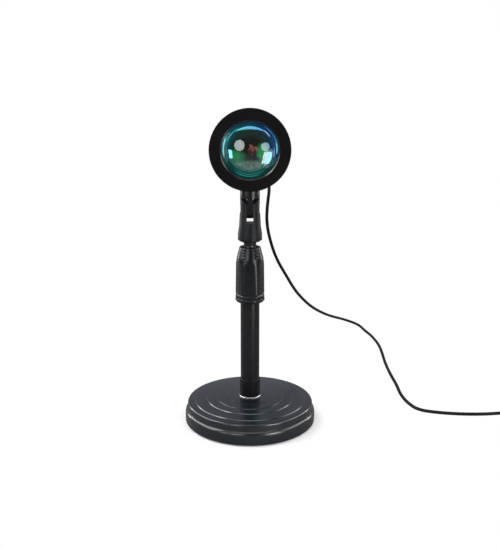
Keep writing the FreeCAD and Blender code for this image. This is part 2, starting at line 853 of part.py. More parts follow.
def make_barrel():
    node(on_head(turned("barrel", [
        (BARREL_BORE, SEAL_BACK),
        (BARREL_RADIUS, SEAL_BACK),
        (BARREL_RADIUS, size.board_plane),
        (BARREL_BORE, size.board_plane),
        (BARREL_BORE, REFLECTOR_FRONT),
        (FLANGE_BORE, REFLECTOR_FRONT),
        (FLANGE_BORE, FILTER_BACK),
        (BARREL_BORE, FILTER_BACK),
    ])), "lens_barrel")


def make_reflector():
    wall = size.reflector_wall
    mouth = FLANGE_BORE
    rim_radius = BARREL_BORE - size.slip
    throat_plane = size.board_plane - size.board_thickness - size.chip_height
    node(on_head(turned("mirror", [
        (mouth - wall, REFLECTOR_FRONT),
        (rim_radius, REFLECTOR_FRONT),
        (rim_radius, REFLECTOR_FRONT + wall),
        (mouth, REFLECTOR_FRONT + wall),
        (size.reflector_throat + wall, throat_plane),
        (size.reflector_throat, throat_plane),
    ])), "reflector_cup")


def make_light_source():
    board_front = size.board_plane - size.board_thickness
    node(on_head(rod("led_disc", size.board_radius, size.board_thickness)), "led_board")
    drive(nodes[-1], "Placement.Base.y", board_front - size.head_front)
    chip = block("chip_base", size.chip_side, size.chip_side, size.chip_height,
                 board_front - size.chip_height)
    dome = doc.addObject("Part::Sphere", "chip_dome")
    drive(dome, "Radius", size.emitter_radius)
    dome.Angle1 = -90
    dome.Angle2 = 0
    move(dome, z=board_front - size.chip_height)
    node(on_head(fused("chip", [chip, dome])), "led_chip")


def make_housing():
    tube = turned("drum", [
        (DRUM_BORE, DRUM_START),
        (size.drum_radius, DRUM_START),
        (size.drum_radius, DRUM_END),
        (DRUM_BORE, DRUM_END),
    ])
    # the neck's screw holes run downwards, which is +Y before the drum is laid down, and a flat
    # inside the wall gives the screw heads their seat
    holes = []
    for number, side in enumerate((-1, 1)):
        bores = {"hole": (size.neck_screw_radius + size.slip, size.drum_radius + size.overrun),
                 "seat": (size.neck_screw_head + size.slip, DRUM_BORE)}
        for kind, (radius, depth) in bores.items():
            bore = turn_to(rod(f"drum_{kind}_{number}", radius, depth), (1, 0, 0), -90)
            holes.append(move(bore, z=size.head_front + side * size.neck_screw_spread / 2))
    node(on_head(cut("drum_cut", tube, fused("drum_holes", holes))), "lamp_housing")


def make_heat_sink():
    """A plate behind the light source, a hollow core and round cooling fins."""
    plate = move(rod("sink_plate_disc", DRUM_BORE - size.slip, size.sink_plate),
                 z=size.board_plane)
    core = move(rod("sink_core_rod", SINK_CORE, size.sink_length), z=size.board_plane)
    parts = [plate, core]
    for number in range(FIN_COUNT):
        fin = rod(f"fin_{number}", size.drum_radius, size.fin_thickness)
        parts.append(move(fin, z=DRUM_END + size.fin_pitch * number))
    hollow = move(rod("sink_hollow", SINK_BORE, size.sink_length),
                  z=size.board_plane + size.sink_plate + size.sink_floor)
    cuts = [hollow]
    for number in range(CAP_SCREWS):
        hole = rod(f"sink_tap_{number}", size.cap_screw_radius + size.slip, size.cap_screw_length)
        cuts.append(cap_screw_place(hole, number, HEAD_END - size.cap_screw_length))
    node(on_head(cut("sink", fused("sink_blank", parts), fused("sink_cuts", cuts))), "heat_sink")


def cap_screw_place(thing, number, z):
    """One of the cap's screw places, spread evenly on the heat sink's core."""
    angle = math.radians(90 + number * 360 / CAP_SCREWS)
    circle = (SINK_CORE + SINK_BORE) / 2
    return move(thing, circle * math.cos(angle), circle * math.sin(angle), z)


def make_driver_board():
    foot = size.board_plane + size.sink_plate + size.sink_floor
    face = size.board_thickness / 2
    middle = foot + size.driver_length / 2
    card = block("driver_card", size.driver_width, size.board_thickness, size.driver_length, foot)
    choke = block("driver_choke", size.choke_side, size.choke_depth, size.choke_side,
                  middle - size.choke_side / 2)
    drive(choke, "Placement.Base.y", face)
    can = rod("driver_can", size.can_radius, size.choke_side)
    move(can, -size.can_offset, face + size.can_standoff, middle - size.choke_side / 2)
    node(on_head(fused("driver", [card, choke, can])), "driver_board")


def make_rear_cap():
    plate_radius = size.drum_radius
    plain = turned("cap_plain", [
        (size.relief_collar + size.slip, SINK_END),
        (plate_radius, SINK_END),
        (plate_radius, HEAD_END - size.cap_bevel),
        (plate_radius - size.cap_bevel, HEAD_END),
        (size.relief_collar + size.slip, HEAD_END),
    ])
    hollow = cut("cap_hollow",
                 move(rod("cap_pocket", SINK_BORE, size.cap_depth / 2), z=SINK_END),
                 move(rod("cap_boss", size.relief_flange, size.cap_depth / 2), z=SINK_END))
    holes = [hollow]
    for number in range(CAP_SCREWS):
        hole = rod(f"cap_hole_{number}", size.cap_screw_radius + size.slip, size.cap_depth)
        holes.append(cap_screw_place(hole, number, SINK_END))
        seat = rod(f"cap_seat_{number}", size.cap_screw_head + size.cap_seat_gap,
                   size.cap_screw_head_height)
        holes.append(cap_screw_place(seat, number, HEAD_END - size.cap_screw_head_height))
    node(on_head(cut("cap", plain, fused("cap_cuts", holes))), "rear_cap")


def make_cap_screws():
    screws = []
    for number in range(CAP_SCREWS):
        shank = rod(f"cap_shank_{number}", size.cap_screw_radius,
                    size.cap_screw_length - size.cap_screw_head_height)
        cap_screw_place(shank, number, HEAD_END - size.cap_screw_length)
        head = rod(f"cap_head_{number}", size.cap_screw_head, size.cap_screw_head_height)
        cap_screw_place(head, number, HEAD_END - size.cap_screw_head_height)
        socket = prism(f"cap_socket_{number}", 6, size.cap_screw_radius, size.cap_screw_head_height)
        cap_screw_place(socket, number, HEAD_END - size.cap_screw_head_height / 2)
        screws.append(cut(f"cap_screw_{number}",
                          fused(f"cap_blank_{number}", [shank, head]), socket))
    node(on_head(group("cap_screw_set", screws)), "cap_screws")


def make_strain_relief():
    flange_end = HEAD_END + size.relief_flange_thickness
    node(on_head(turned("relief", [
        (0.0, SINK_END),
        (size.relief_collar, SINK_END),
        (size.relief_collar, HEAD_END),
        (size.relief_flange, HEAD_END),
        (size.relief_flange - size.relief_edge, flange_end),
        (size.relief_root, flange_end + size.relief_root_length),
        (size.relief_tip, RELIEF_END),
        (0.0, RELIEF_END),
    ])), "strain_relief")


# ---------------------------------------------------------------- lead

HEAD_BACK = (RELIEF_END - size.head_front).value
HEAD_Z = HEAD_HEIGHT.value
CORD_Z = SIZES["cord_radius"] + SIZES["cord_floor_gap"]

# the lead leaves the strain relief backwards, hangs, and touches down behind the base; the hanging
# points' heights are shares of the height that it hangs from
DROP_ROUTE = [
    (0.0, HEAD_BACK, HEAD_Z),
    (0.0, HEAD_BACK + 15.0, HEAD_Z),
    (5.5, HEAD_BACK + 30.0, 0.9643 * HEAD_Z),
    (14.5, HEAD_BACK + 34.5, 0.8978 * HEAD_Z),
    (22.3, HEAD_BACK + 34.1, 0.8222 * HEAD_Z),
    (19.4, HEAD_BACK + 37.1, 0.7420 * HEAD_Z),
    (18.7, HEAD_BACK + 43.6, 0.6654 * HEAD_Z),
    (23.5, HEAD_BACK + 54.1, 0.5810 * HEAD_Z),
    (31.4, HEAD_BACK + 65.1, 0.4974 * HEAD_Z),
    (43.4, HEAD_BACK + 80.1, 0.4169 * HEAD_Z),
    (54.8, 166.0, 0.3357 * HEAD_Z),
    (68.3, 196.0, 0.2590 * HEAD_Z),
    (83.3, 229.6, 0.1866 * HEAD_Z),
    (102.0, 262.8, 0.1222 * HEAD_Z),
    (118.3, 298.5, 0.0686 * HEAD_Z),
    (136.2, 323.8, 0.0280 * HEAD_Z),
    (156.9, 318.2, CORD_Z),
    (161.8, 290.4, CORD_Z),
    (167.8, 269.3, CORD_Z),
    (170.1, 250.6, CORD_Z),
]

FLOOR_ROUTE = [
    (170.1, 250.6, CORD_Z),
    (172.4, 231.9, CORD_Z),
    (171.8, 200.0, CORD_Z),
    (169.5, 161.8, CORD_Z),
    (169.5, 122.2, CORD_Z),
    (171.2, 88.1, CORD_Z),
    (170.4, 61.9, CORD_Z),
    (173.3, 39.4, CORD_Z),
    (180.9, 18.2, CORD_Z),
    (199.1, 10.8, CORD_Z),
    (224.0, 6.5, CORD_Z),
    (250.0, 6.0, CORD_Z),
    (274.0, SIZES["coil_start_y"], CORD_Z),
    (SIZES["coil_middle_x"] - 2 * SIZES["cord_radius"], SIZES["coil_start_y"], CORD_Z),
]


def rounded_path(route, label):
    """Straight runs joined by tangent arcs, each as large as its two runs allow."""
    points = [FreeCAD.Vector(*p) for p in route]
    edges = []
    here = points[0]
    radii = []
    for before, corner, after in zip(points, points[1:], points[2:]):
        back = before - corner
        ahead = after - corner
        short = min(back.Length, ahead.Length)
        back.normalize()
        ahead.normalize()
        half_turn = (math.pi - back.getAngle(ahead)) / 2
        leg = ARC_SHARE * short
        radius = leg / math.tan(half_turn)
        radii.append(radius)
        start = corner + back * leg
        end = corner + ahead * leg
        inward = back + ahead
        inward.normalize()
        reach = radius / math.cos(half_turn) - radius
        middle = corner + inward * reach
        edges.append(Part.LineSegment(here, start).toShape())
        edges.append(Part.Arc(start, middle, end).toShape())
        here = end
    edges.append(Part.LineSegment(here, points[-1]).toShape())
    print(label, "radii", [round(r, 1) for r in radii])
    return Part.Wire(edges)


def tube_along(wire, label, radius):
    """Sweep the lead's round section along a path and compare its volume."""
    first = wire.Edges[0]
    start = first.valueAt(first.FirstParameter)
    heading = first.tangentAt(first.FirstParameter)
    section = Part.Wire([Part.makeCircle(radius, start, heading)])
    solid = wire.makePipeShell([section], True, False)
    expected = math.pi * radius ** 2 * wire.Length
    print(label, "length", round(wire.Length, 1), "volume ratio", round(solid.Volume / expected, 4))
    feature = doc.addObject("Part::Feature", label)
    feature.Shape = solid
    return node(feature, label)


def biarc(start, heading, end, end_heading):
    """Two tangent arcs from one point and heading to another."""
    span = end - start
    both = heading + end_heading
    a = both.dot(both) - 4
    b = -2 * span.dot(both)
    c = span.dot(span)
    if abs(a) < 1e-9:
        reach = -c / b
    else:
        reach = (-b - math.sqrt(b * b - 4 * a * c)) / (2 * a)
    first = start + heading * reach
    second = end - end_heading * reach
    joint = (first + second) / 2
    return [arc_between(start, first, joint), arc_between(joint, second, end)]


def arc_between(start, corner, end):
    """The arc that is tangent to both legs of an even corner."""
    back = start - corner
    ahead = end - corner
    leg = back.Length
    back.normalize()
    ahead.normalize()
    half_turn = (math.pi - back.getAngle(ahead)) / 2
    radius = leg / math.tan(half_turn)
    inward = back + ahead
    inward.normalize()
    return Part.Arc(start, corner + inward * (radius / math.cos(half_turn) - radius), end).toShape()


def make_coil():
    """The spare lead: three loops spiral in, climb a layer in half a turn, and spiral out again."""
    pitch = 2 * SIZES["cord_radius"] + SIZES["coil_gap"]
    x = SIZES["coil_middle_x"]
    y = SIZES["coil_start_y"]
    z = CORD_Z
    right = FreeCAD.Vector(1, 0, 0)
    here = FreeCAD.Vector(x, y, z)
    lead_in = here - right * 2 * SIZES["cord_radius"]
    edges = [Part.LineSegment(lead_in, here).toShape()]
    radius = SIZES["coil_outer"]
    heading = right
    half_turns = [(-pitch / 2, 0.0)] * (2 * COIL_TURNS) + [(pitch / 2, pitch)]
    half_turns += [(pitch / 2, 0.0)] * (2 * COIL_TURNS - 1)
    for growth, climb in half_turns:
        across = FreeCAD.Vector(0, 2 * radius if heading.x > 0 else -2 * radius, climb)
        edges += biarc(here, heading, here + across, -heading)
        here = here + across
        heading = -heading
        radius += growth
    last = here + FreeCAD.Vector(radius, radius, 0)
    ahead = FreeCAD.Vector(0, 1, 0)
    edges.append(arc_between(here, here + right * radius, last))
    tail = last + ahead * SIZES["coil_tail"]
    edges.append(Part.LineSegment(last, tail).toShape())
    wire = Part.Wire(edges)
    print("cord_coil least gap to itself", round(least_gap(wire, pitch), 3))
    tube_along(wire, "cord_coil", SIZES["cord_radius"])
    return tail


def least_gap(wire, pitch):
    """Smallest distance between the tube's surface and itself, measured on points along it."""
    points = wire.discretize(Distance=1.0)
    travelled = [0.0]
    for one, other in zip(points, points[1:]):
        travelled.append(travelled[-1] + (other - one).Length)
    apart = 3 * pitch
    least = min((one - other).Length
                for i, one in enumerate(points)
                for j, other in enumerate(points[:i])
                if travelled[i] - travelled[j] > apart)
    return least - 2 * SIZES["cord_radius"]


def make_plug(start):
    """The moulded plug at the lead's end, pointing along +Y from the coil's tail."""
    lift = as_length(start.z) - size.plug_floor_gap

    def lay(thing, along):
        thing.Placement.Rotation = FreeCAD.Rotation(FreeCAD.Vector(1, 0, 0), -90)
        return move(thing, start.x, along + start.y, start.z)

    neck = turned("plug_neck", [
        (0.0, 0.0),
        (size.plug_relief_tip, 0.0),
        (size.plug_relief_radius, size.plug_relief_length),
        (0.0, size.plug_relief_length),
    ])
    node(lay(neck, as_length(0.0)), "plug_relief")
    body = block("plug_block", size.plug_body_width, lift * 2, size.plug_body_length)
    rounding = doc.addObject("Part::Fillet", "plug_rounded")
    rounding.Base = body
    doc.recompute()
    upright = [(n, size.plug_corner.value, size.plug_corner.value)
               for n, e in enumerate(body.Shape.Edges, start=1)
               if abs(e.tangentAt(e.FirstParameter).z) > 0.99]
    rounding.Edges = upright
    node(lay(rounding, size.plug_relief_length), "plug_body")
    outer = block("shell_outer", size.shell_width, size.shell_height, size.shell_length)
    inner = block("shell_inner", size.shell_width - size.shell_wall * 2,
                  size.shell_height - size.shell_wall * 2, size.shell_length, size.shell_floor)
    shell_start = size.plug_relief_length + size.plug_body_length
    node(lay(cut("shell", outer, inner), shell_start), "plug_shell")
    card = block("contact_card", size.shell_width - size.shell_wall * 4, size.contact_thickness,
                 size.shell_length - size.shell_floor * 2, size.shell_floor)
    drive(card, "Placement.Base.y", -size.shell_height / 2 + size.shell_wall)
    node(lay(group("contact_block", [card]), shell_start), "plug_tongue")


# ---------------------------------------------------------------- build and write

def build():
    make_base_cover()
    make_base_weight()
    make_base_pad()
    make_base_fixings()
    make_column()
    make_clutch_fixed_parts()
    make_clutch_grip()
    make_mast()
    make_swivel_housing()
    make_thread_insert()
    make_pivot_hardware()
    make_neck()
    make_neck_screws()
    make_bezel()
    make_lens_stack()
    make_barrel()
    make_reflector()
    make_light_source()
    make_housing()
    make_heat_sink()
    make_driver_board()
    make_rear_cap()
    make_cap_screws()
    make_strain_relief()
    tube_along(rounded_path(DROP_ROUTE, "cord_drop"), "cord_drop", SIZES["cord_radius"])
    tube_along(rounded_path(FLOOR_ROUTE, "cord_floor"), "cord_floor", SIZES["cord_radius"])
    make_plug(make_coil())


def check_and_write():
    doc.recompute()
    for thing in doc.Objects:
        if "Invalid" in thing.State or "Error" in thing.State:
            raise RuntimeError(f"{thing.Name} failed: {thing.State}")
    os.makedirs("parts", exist_ok=True)
    for thing in nodes:
        shape = thing.Shape
        if shape.isNull() or not shape.isValid() or not shape.Solids:
            raise RuntimeError(f"{thing.Label} has no valid solid")
        shape.exportStep(f"parts/{thing.Label}.step")
    print(len(nodes), "sub-parts written")


build()
check_and_write()
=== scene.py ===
import math

import bmesh
import bpy
from mathutils import Matrix, Vector


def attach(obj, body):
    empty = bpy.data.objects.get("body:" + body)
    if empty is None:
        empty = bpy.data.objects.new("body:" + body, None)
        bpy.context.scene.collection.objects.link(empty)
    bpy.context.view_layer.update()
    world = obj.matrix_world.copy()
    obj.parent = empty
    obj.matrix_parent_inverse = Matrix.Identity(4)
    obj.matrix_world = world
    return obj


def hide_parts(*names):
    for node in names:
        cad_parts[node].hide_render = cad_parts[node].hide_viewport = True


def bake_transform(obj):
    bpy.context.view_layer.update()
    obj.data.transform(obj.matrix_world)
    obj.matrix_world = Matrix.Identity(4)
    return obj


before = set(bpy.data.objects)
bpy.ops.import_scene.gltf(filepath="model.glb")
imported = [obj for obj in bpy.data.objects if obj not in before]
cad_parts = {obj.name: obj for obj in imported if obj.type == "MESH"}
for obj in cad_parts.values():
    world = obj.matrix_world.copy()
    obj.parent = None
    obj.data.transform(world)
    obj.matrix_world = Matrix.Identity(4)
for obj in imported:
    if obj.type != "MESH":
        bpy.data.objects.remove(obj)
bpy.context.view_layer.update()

# A sunset projection lamp on a round stepped base, in metres, in the frame of its CAD model: +Z up,
# the lens faces -Y.
scene = bpy.context.scene
scene.view_settings.view_transform = "Standard"


# ---------------------------------------------------------------- camera
# The eye stands about 0.8 m in front of the lamp, a hand above its head, and looks down on the base.

eye_data = bpy.data.cameras.new("eye")
eye_data.sensor_width = 36.0
eye_data.lens = 52.56
eye = bpy.data.objects.new("eye", eye_data)
eye.location = (0.0, -0.788, 0.358)
eye.rotation_euler = (math.radians(75.68), 0.0, 0.0)
scene.collection.objects.link(eye)
scene.camera = eye


# ---------------------------------------------------------------- lead
# A limp round two-core lead, 3.6 mm over its black PVC sheath. It leaves the head's strain relief,
# hangs to the table behind the base, and its spare length lies in a flat two-layer coil.

MM = 0.001


class Wire:
    """A node's output. Sums and products of it add Math nodes."""

    def __init__(self, graph, socket):
        self.graph = graph
        self.socket = socket

    def math(self, operation, *others):
        return self.graph.node("ShaderNodeMath", {"operation": operation},
                               dict(enumerate((self, *others))))

    def after(self, operation, other):
        return self.graph.node("ShaderNodeMath", {"operation": operation}, {0: other, 1: self})

    def __add__(self, other):
        return self.math("ADD", other)

    def __sub__(self, other):
        return self.math("SUBTRACT", other)

    def __mul__(self, other):
        return self.math("MULTIPLY", other)

    def __truediv__(self, other):
        return self.math("DIVIDE", other)

    def __rsub__(self, other):
        return self.after("SUBTRACT", other)

    def __rtruediv__(self, other):
        return self.after("DIVIDE", other)

    def __pow__(self, other):
        return self.math("POWER", other)

    def __neg__(self):
        return self * -1.0

    __radd__ = __add__
    __rmul__ = __mul__

    def ramp(self, low, high):
        """0 at low and 1 at high, with a smooth step between."""
        return self.graph.node("ShaderNodeMapRange", {"interpolation_type": "SMOOTHSTEP"},
                               {0: self, 1: low, 2: high, 3: 0.0, 4: 1.0})

    def near(self, middle, width):
        """1 at the middle, falling to 0 at a width either side."""
        return 1.0 - (self - middle).math("ABSOLUTE").ramp(0.0, width)


class Graph:
    """A node tree under construction."""

    def __init__(self, tree):
        self.tree = tree

    def node(self, kind, settings=None, inputs=None, output=0):
        made = self.tree.nodes.new(kind)
        for name, value in (settings or {}).items():
            if name == "stops":
                while len(made.color_ramp.elements) < len(value):
                    made.color_ramp.elements.new(0.5)
                for element, (position, colour) in zip(made.color_ramp.elements, value):
                    element.position = position
                    element.color = (*colour, 1.0)
            else:
                setattr(made, name, value)
        for key, value in (inputs or {}).items():
            self.feed(made.inputs[key], value)
        return Wire(self, made.outputs[output])

    def feed(self, socket, value):
        if isinstance(value, Wire):
            self.tree.links.new(value.socket, socket)
        elif hasattr(value, "__len__") and len(value) == 3 and socket.type == "RGBA":
            socket.default_value = (*value, 1.0)
        else:
            socket.default_value = value

    def blend(self, factor, one, other):
        """A colour from one to the other."""
        made = self.tree.nodes.new("ShaderNodeMix")
        made.data_type = "RGBA"
        for key, value in ((0, factor), (6, one), (7, other)):
            self.feed(made.inputs[key], value)
        return Wire(self, made.outputs[2])

    def parts(self, vector):
        """The three parts of a vector."""
        split = self.tree.nodes.new("ShaderNodeSeparateXYZ")
        self.feed(split.inputs[0], vector)
        return [Wire(self, socket) for socket in split.outputs]


class Finish(Graph):
    """A material with one Principled shader; its constants are set on the shader's own sockets."""

    def __init__(self, name, **constants):
        self.material = bpy.data.materials.new(name)
        self.material.use_nodes = True
        super().__init__(self.material.node_tree)
        self.shader = self.tree.nodes["Principled BSDF"]
        for socket, value in constants.items():
            self.set(socket, value)
        self.place = self.node("ShaderNodeTexCoord", output="Object")

    def set(self, socket, value):
        self.feed(self.shader.inputs[socket.replace("_", " ")], value)

    def end_in(self, shader):
        self.feed(next(n for n in self.tree.nodes if n.type == "OUTPUT_MATERIAL").inputs[0], shader)

    def noise(self, scale, detail):
        return self.node("ShaderNodeTexNoise", {}, {"Vector": self.place, "Scale": scale,
                                                    "Detail": detail})

    def bump(self, height, depth):
        self.set("Normal", self.node("ShaderNodeBump", {}, {"Height": height, "Strength": 1.0,
                                                            "Distance": depth}))


def moulded(name, dark, light, roughness, wander=0.06, grain=1800.0, depth=0.00002, patch=45.0,
            **constants):
    """A plain finish with patchy tone, uneven gloss and a fine surface grain."""
    finish = Finish(name, **constants)
    cloud = finish.noise(patch, 4.0)
    finish.set("Base_Color", finish.blend(cloud.ramp(0.3, 0.7), dark, light))
    speck = finish.noise(grain, 2.0)
    finish.set("Roughness", cloud * wander + speck * wander + (roughness - wander))
    finish.bump(speck, depth)
    return finish.material


def dress(node_name, material):
    """Give a CAD node's own mesh a finish."""
    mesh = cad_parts[node_name].data
    mesh.materials.clear()
    mesh.materials.append(material)


cord_sheath = moulded("cord_sheath", (0.003, 0.003, 0.004), (0.006, 0.006, 0.007), 0.46,
                      grain=2600.0, Specular_IOR_Level=0.14)
CORD_RADIUS = 1.8 * MM
CORD_SIDES = 14

drop_route = [
    (0.0, 0.0659, 0.2857), (0.0, 0.0809, 0.2857), (0.0055, 0.0959, 0.2755),
    (0.0145, 0.1004, 0.2565), (0.0223, 0.1000, 0.2349), (0.0194, 0.1030, 0.2120),
    (0.0187, 0.1095, 0.1901), (0.0235, 0.1200, 0.1660), (0.0314, 0.1310, 0.1421),
    (0.0434, 0.1460, 0.1191), (0.0548, 0.1660, 0.0959), (0.0683, 0.1960, 0.0740),
    (0.0833, 0.2296, 0.0533), (0.1020, 0.2628, 0.0349), (0.1183, 0.2985, 0.0196),
    (0.1362, 0.3238, 0.0080), (0.1569, 0.3182, 0.0019), (0.1618, 0.2904, 0.0019),
    (0.1678, 0.2693, 0.0019), (0.1701, 0.2506, 0.0019),
]
floor_route = [
    (0.1701, 0.2506, 0.0019), (0.1724, 0.2319, 0.0019), (0.1718, 0.2000, 0.0019),
    (0.1695, 0.1618, 0.0019), (0.1695, 0.1222, 0.0019), (0.1712, 0.0881, 0.0019),
    (0.1704, 0.0619, 0.0019), (0.1733, 0.0394, 0.0019), (0.1809, 0.0182, 0.0019),
    (0.1991, 0.0108, 0.0019), (0.2240, 0.0065, 0.0019), (0.2500, 0.0060, 0.0019),
    (0.2740, 0.0100, 0.0019), (0.3004, 0.0100, 0.0019),
]


def route_curve(name, route):
    """A curve of one open NURBS spline with the route's points as its control points."""
    curve = bpy.data.curves.new(name, "CURVE")
    curve.dimensions = "3D"
    curve.resolution_u = 10
    spline = curve.splines.new("NURBS")
    spline.points.add(len(route) - 1)
    for point, place in zip(spline.points, route):
        point.co = (*place, 1.0)
    spline.order_u = 3
    spline.use_endpoint_u = True
    return curve


def centreline(curve):
    """The points that the spline runs through."""
    bare = bpy.data.objects.new("bare", curve)
    mesh = bpy.data.meshes.new_from_object(bare)
    line = [v.co.copy() for v in mesh.vertices]
    bpy.data.objects.remove(bare)
    bpy.data.meshes.remove(mesh)
    return line


def sheath(name, line, material):
    """A closed round tube along a line."""
    shape = bmesh.new()
    rings = []
    across = Vector((1.0, 0.0, 0.0))
    for i, place in enumerate(line):
        ahead = (line[min(i + 1, len(line) - 1)] - line[max(i - 1, 0)]).normalized()
        across = (across - ahead * across.dot(ahead)).normalized()
        side = ahead.cross(across)
        rings.append([shape.verts.new(place + (across * math.cos(a) + side * math.sin(a)) * CORD_RADIUS)
                      for a in (math.tau * k / CORD_SIDES for k in range(CORD_SIDES))])
    for one, other in zip(rings, rings[1:]):
        for k in range(CORD_SIDES):
            j = (k + 1) % CORD_SIDES
            shape.faces.new((one[k], one[j], other[j], other[k]))
    shape.faces.new(rings[0][::-1])
    shape.faces.new(rings[-1])
    return built(name, shape, material)


def built(name, shape, *materials, crease=40.0):
    """An object at the origin from a finished bmesh, shaded smooth but for its creases."""
    bmesh.ops.recalc_face_normals(shape, faces=shape.faces)
    mesh = bpy.data.meshes.new(name)
    shape.to_mesh(mesh)
    shape.free()
    for material in materials:
        mesh.materials.append(material)
    mesh.shade_smooth()
    mesh.set_sharp_from_angle(angle=math.radians(crease))
    thing = bpy.data.objects.new(name, mesh)
    scene.collection.objects.link(thing)
    return thing


# the hanging lead runs from the head past the fork and the inner tube to the base: three tubes, cut at
# the two middle heights; they are not attached to the bodies that each run names
HANG_HEIGHTS = (0.284, 0.200, 0.070, 0.012)
hang_runs = [("lead_upper", "head", "swivel"), ("lead_middle", "swivel", "mast"),
             ("lead_lower", "mast", "base")]
hang_line = centreline(route_curve("drop_route", drop_route))
cuts = [next(i for i, p in enumerate(hang_line) if p.z < height) for height in HANG_HEIGHTS[1:-1]]
cuts = [0, *cuts, len(hang_line) - 1]
for i, (name, upper, lower) in enumerate(hang_runs):
    top, bottom = HANG_HEIGHTS[i:i + 2]
    line = hang_line[cuts[i]:cuts[i + 1] + 1]
    lead = sheath(name, line, cord_sheath)
    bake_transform(lead)
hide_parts("cord_drop")

# on the table the lead runs to a coil: its loops spiral in, climb one layer in half a turn, and
# spiral out again, and it ends in the plug
COIL_OUTER = 24.4 * MM
COIL_PITCH = 4.1 * MM
COIL_LOOPS = 3
COIL_TAIL = 12.0 * MM
HALF_TURN_POINTS = 8


def add_coil(route, here):
    """Control points of the coil's half turns, just outside the arcs that the spline makes."""
    outside = 1.0 / math.cos(math.pi / HALF_TURN_POINTS / 2)
    step = COIL_PITCH / 2
    growth = [(-step, 0.0)] * (2 * COIL_LOOPS) + [(step, COIL_PITCH)]
    growth += [(step, 0.0)] * (2 * COIL_LOOPS - 1)
    radius, way = COIL_OUTER, 1.0
    route.append(here)
    for change, climb in growth:
        for k in range(1, HALF_TURN_POINTS + 1):
            angle = math.pi * k / HALF_TURN_POINTS
            route.append(here + Vector((way * radius * outside * math.sin(angle),
                                        way * radius * (1.0 - outside * math.cos(angle)),
                                        climb * k / HALF_TURN_POINTS)))
        here = here + Vector((0.0, way * 2 * radius, climb))
        radius += change
        way = -way
    for k in range(1, HALF_TURN_POINTS // 2):
        angle = math.pi * k / HALF_TURN_POINTS
        route.append(here + Vector((radius * outside * math.sin(angle),
                                    radius * (1.0 - outside * math.cos(angle)), 0.0)))
    route += [here + Vector((radius, along, 0.0)) for along in (radius, radius + COIL_TAIL)]


table_route = [Vector(p) for p in floor_route]
add_coil(table_route, Vector((0.3040, 0.0100, 0.0019)))
table_line = centreline(route_curve("table_route", table_route))
lead_table = sheath("lead_table", table_line, cord_sheath)
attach(lead_table, "base")
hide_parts("cord_floor", "cord_coil")


# ---------------------------------------------------------------- studio
# A white table under the lamp and a white room round it, with the side behind the camera in shade.
# Two umbrellas, a box overhead, banks at the sides and narrow strips behind are the soft lamps.

SHADOW_KEPT = 0.80
SHADOW_REACH = (0.068, 0.082)

table_finish = Finish("table_top", Roughness=0.9)
# glossy rays see the table dark grey instead of white: a painted shade in what the lamp reflects
mirrored = table_finish.node("ShaderNodeLightPath", output="Is Glossy Ray")
table_finish.set("Base_Color", table_finish.blend(mirrored, (0.80, 0.80, 0.80), (0.17, 0.17, 0.18)))
east, north, _ = table_finish.parts(table_finish.place)
away = ((east * east + north * north) ** 0.5).ramp(*SHADOW_REACH)
seen = table_finish.node("ShaderNodeLightPath", output="Is Camera Ray")
glow = table_finish.node("ShaderNodeEmission", {}, {"Color": (1.0, 1.0, 1.0), "Strength": 1.0})
mixed = table_finish.node("ShaderNodeMixShader", {}, {
    0: seen * (away * SHADOW_KEPT + (1.0 - SHADOW_KEPT)),
    1: Wire(table_finish, table_finish.shader.outputs[0]), 2: glow})
table_finish.end_in(mixed)
top = bmesh.new()
bmesh.ops.create_grid(top, x_segments=2, y_segments=2, size=6.0)
table = built("table", top, table_finish.material)

room = bpy.data.worlds.new("room")
scene.world = room
room.use_nodes = True
sky = Graph(room.node_tree)
ways = sky.parts(sky.node("ShaderNodeTexCoord", output="Generated"))
behind = ways[1].ramp(-0.35, 0.75)
reflected = sky.blend(behind, (0.030, 0.030, 0.032), (0.34, 0.36, 0.40))
camera_ray = sky.node("ShaderNodeLightPath", output="Is Camera Ray")
glossy_ray = sky.node("ShaderNodeLightPath", output="Is Glossy Ray")
lit = sky.blend(glossy_ray, (0.22, 0.22, 0.23), reflected)
backdrop = next(n for n in room.node_tree.nodes if n.type == "BACKGROUND")
sky.feed(backdrop.inputs[0], sky.blend(camera_ray, lit, (1.0, 1.0, 1.0)))

BASE_RIM = (0.0, 0.0, 0.015)
HEAD_FACE = (0.0, -0.040, 0.2857)
COLUMN = (0.0, 0.0, 0.17)


def soft_lamp(name, place, aim, watts, width, height=None):
    """A round soft lamp, or a rectangular one where it has a height, turned to what it lights."""
    data = bpy.data.lights.new(name, "AREA")
    data.shape = "RECTANGLE" if height else "DISK"
    data.size, data.size_y, data.energy = width, height or width, watts
    lamp = bpy.data.objects.new(name, data)
    lamp.location = place
    lamp.rotation_euler = (Vector(aim) - Vector(place)).to_track_quat("-Z", "Y").to_euler()
    scene.collection.objects.link(lamp)


soft_lamp("left_umbrella", (-0.54, -1.22, 0.42), HEAD_FACE, 3.7, 0.55)
soft_lamp("right_umbrella", (0.76, -1.10, 0.33), HEAD_FACE, 2.3, 0.44)
soft_lamp("ceiling_box", (0.0, -0.50, 1.08), HEAD_FACE, 4.8, 1.20, 0.56)
soft_lamp("left_streak", (-0.36, -0.375, 0.17), HEAD_FACE, 0.24, 0.07, 0.16)
soft_lamp("table_glow", (0.29, -0.35, 0.115), HEAD_FACE, 0.8, 0.17, 0.21)
soft_lamp("upper_left", (-0.70, -0.10, 0.95), HEAD_FACE, 2.6, 0.30)
soft_lamp("left_bank", (-0.90, 0.02, 0.60), BASE_RIM, 9.5, 1.05, 0.60)
soft_lamp("right_bank", (0.94, 0.02, 0.60), BASE_RIM, 6.8, 1.05, 0.54)
soft_lamp("left_rim", (-0.87, 0.62, 0.22), COLUMN, 4.2, 0.12, 0.80)
soft_lamp("right_rim", (0.95, 0.54, 0.22), COLUMN, 3.4, 0.12, 0.80)


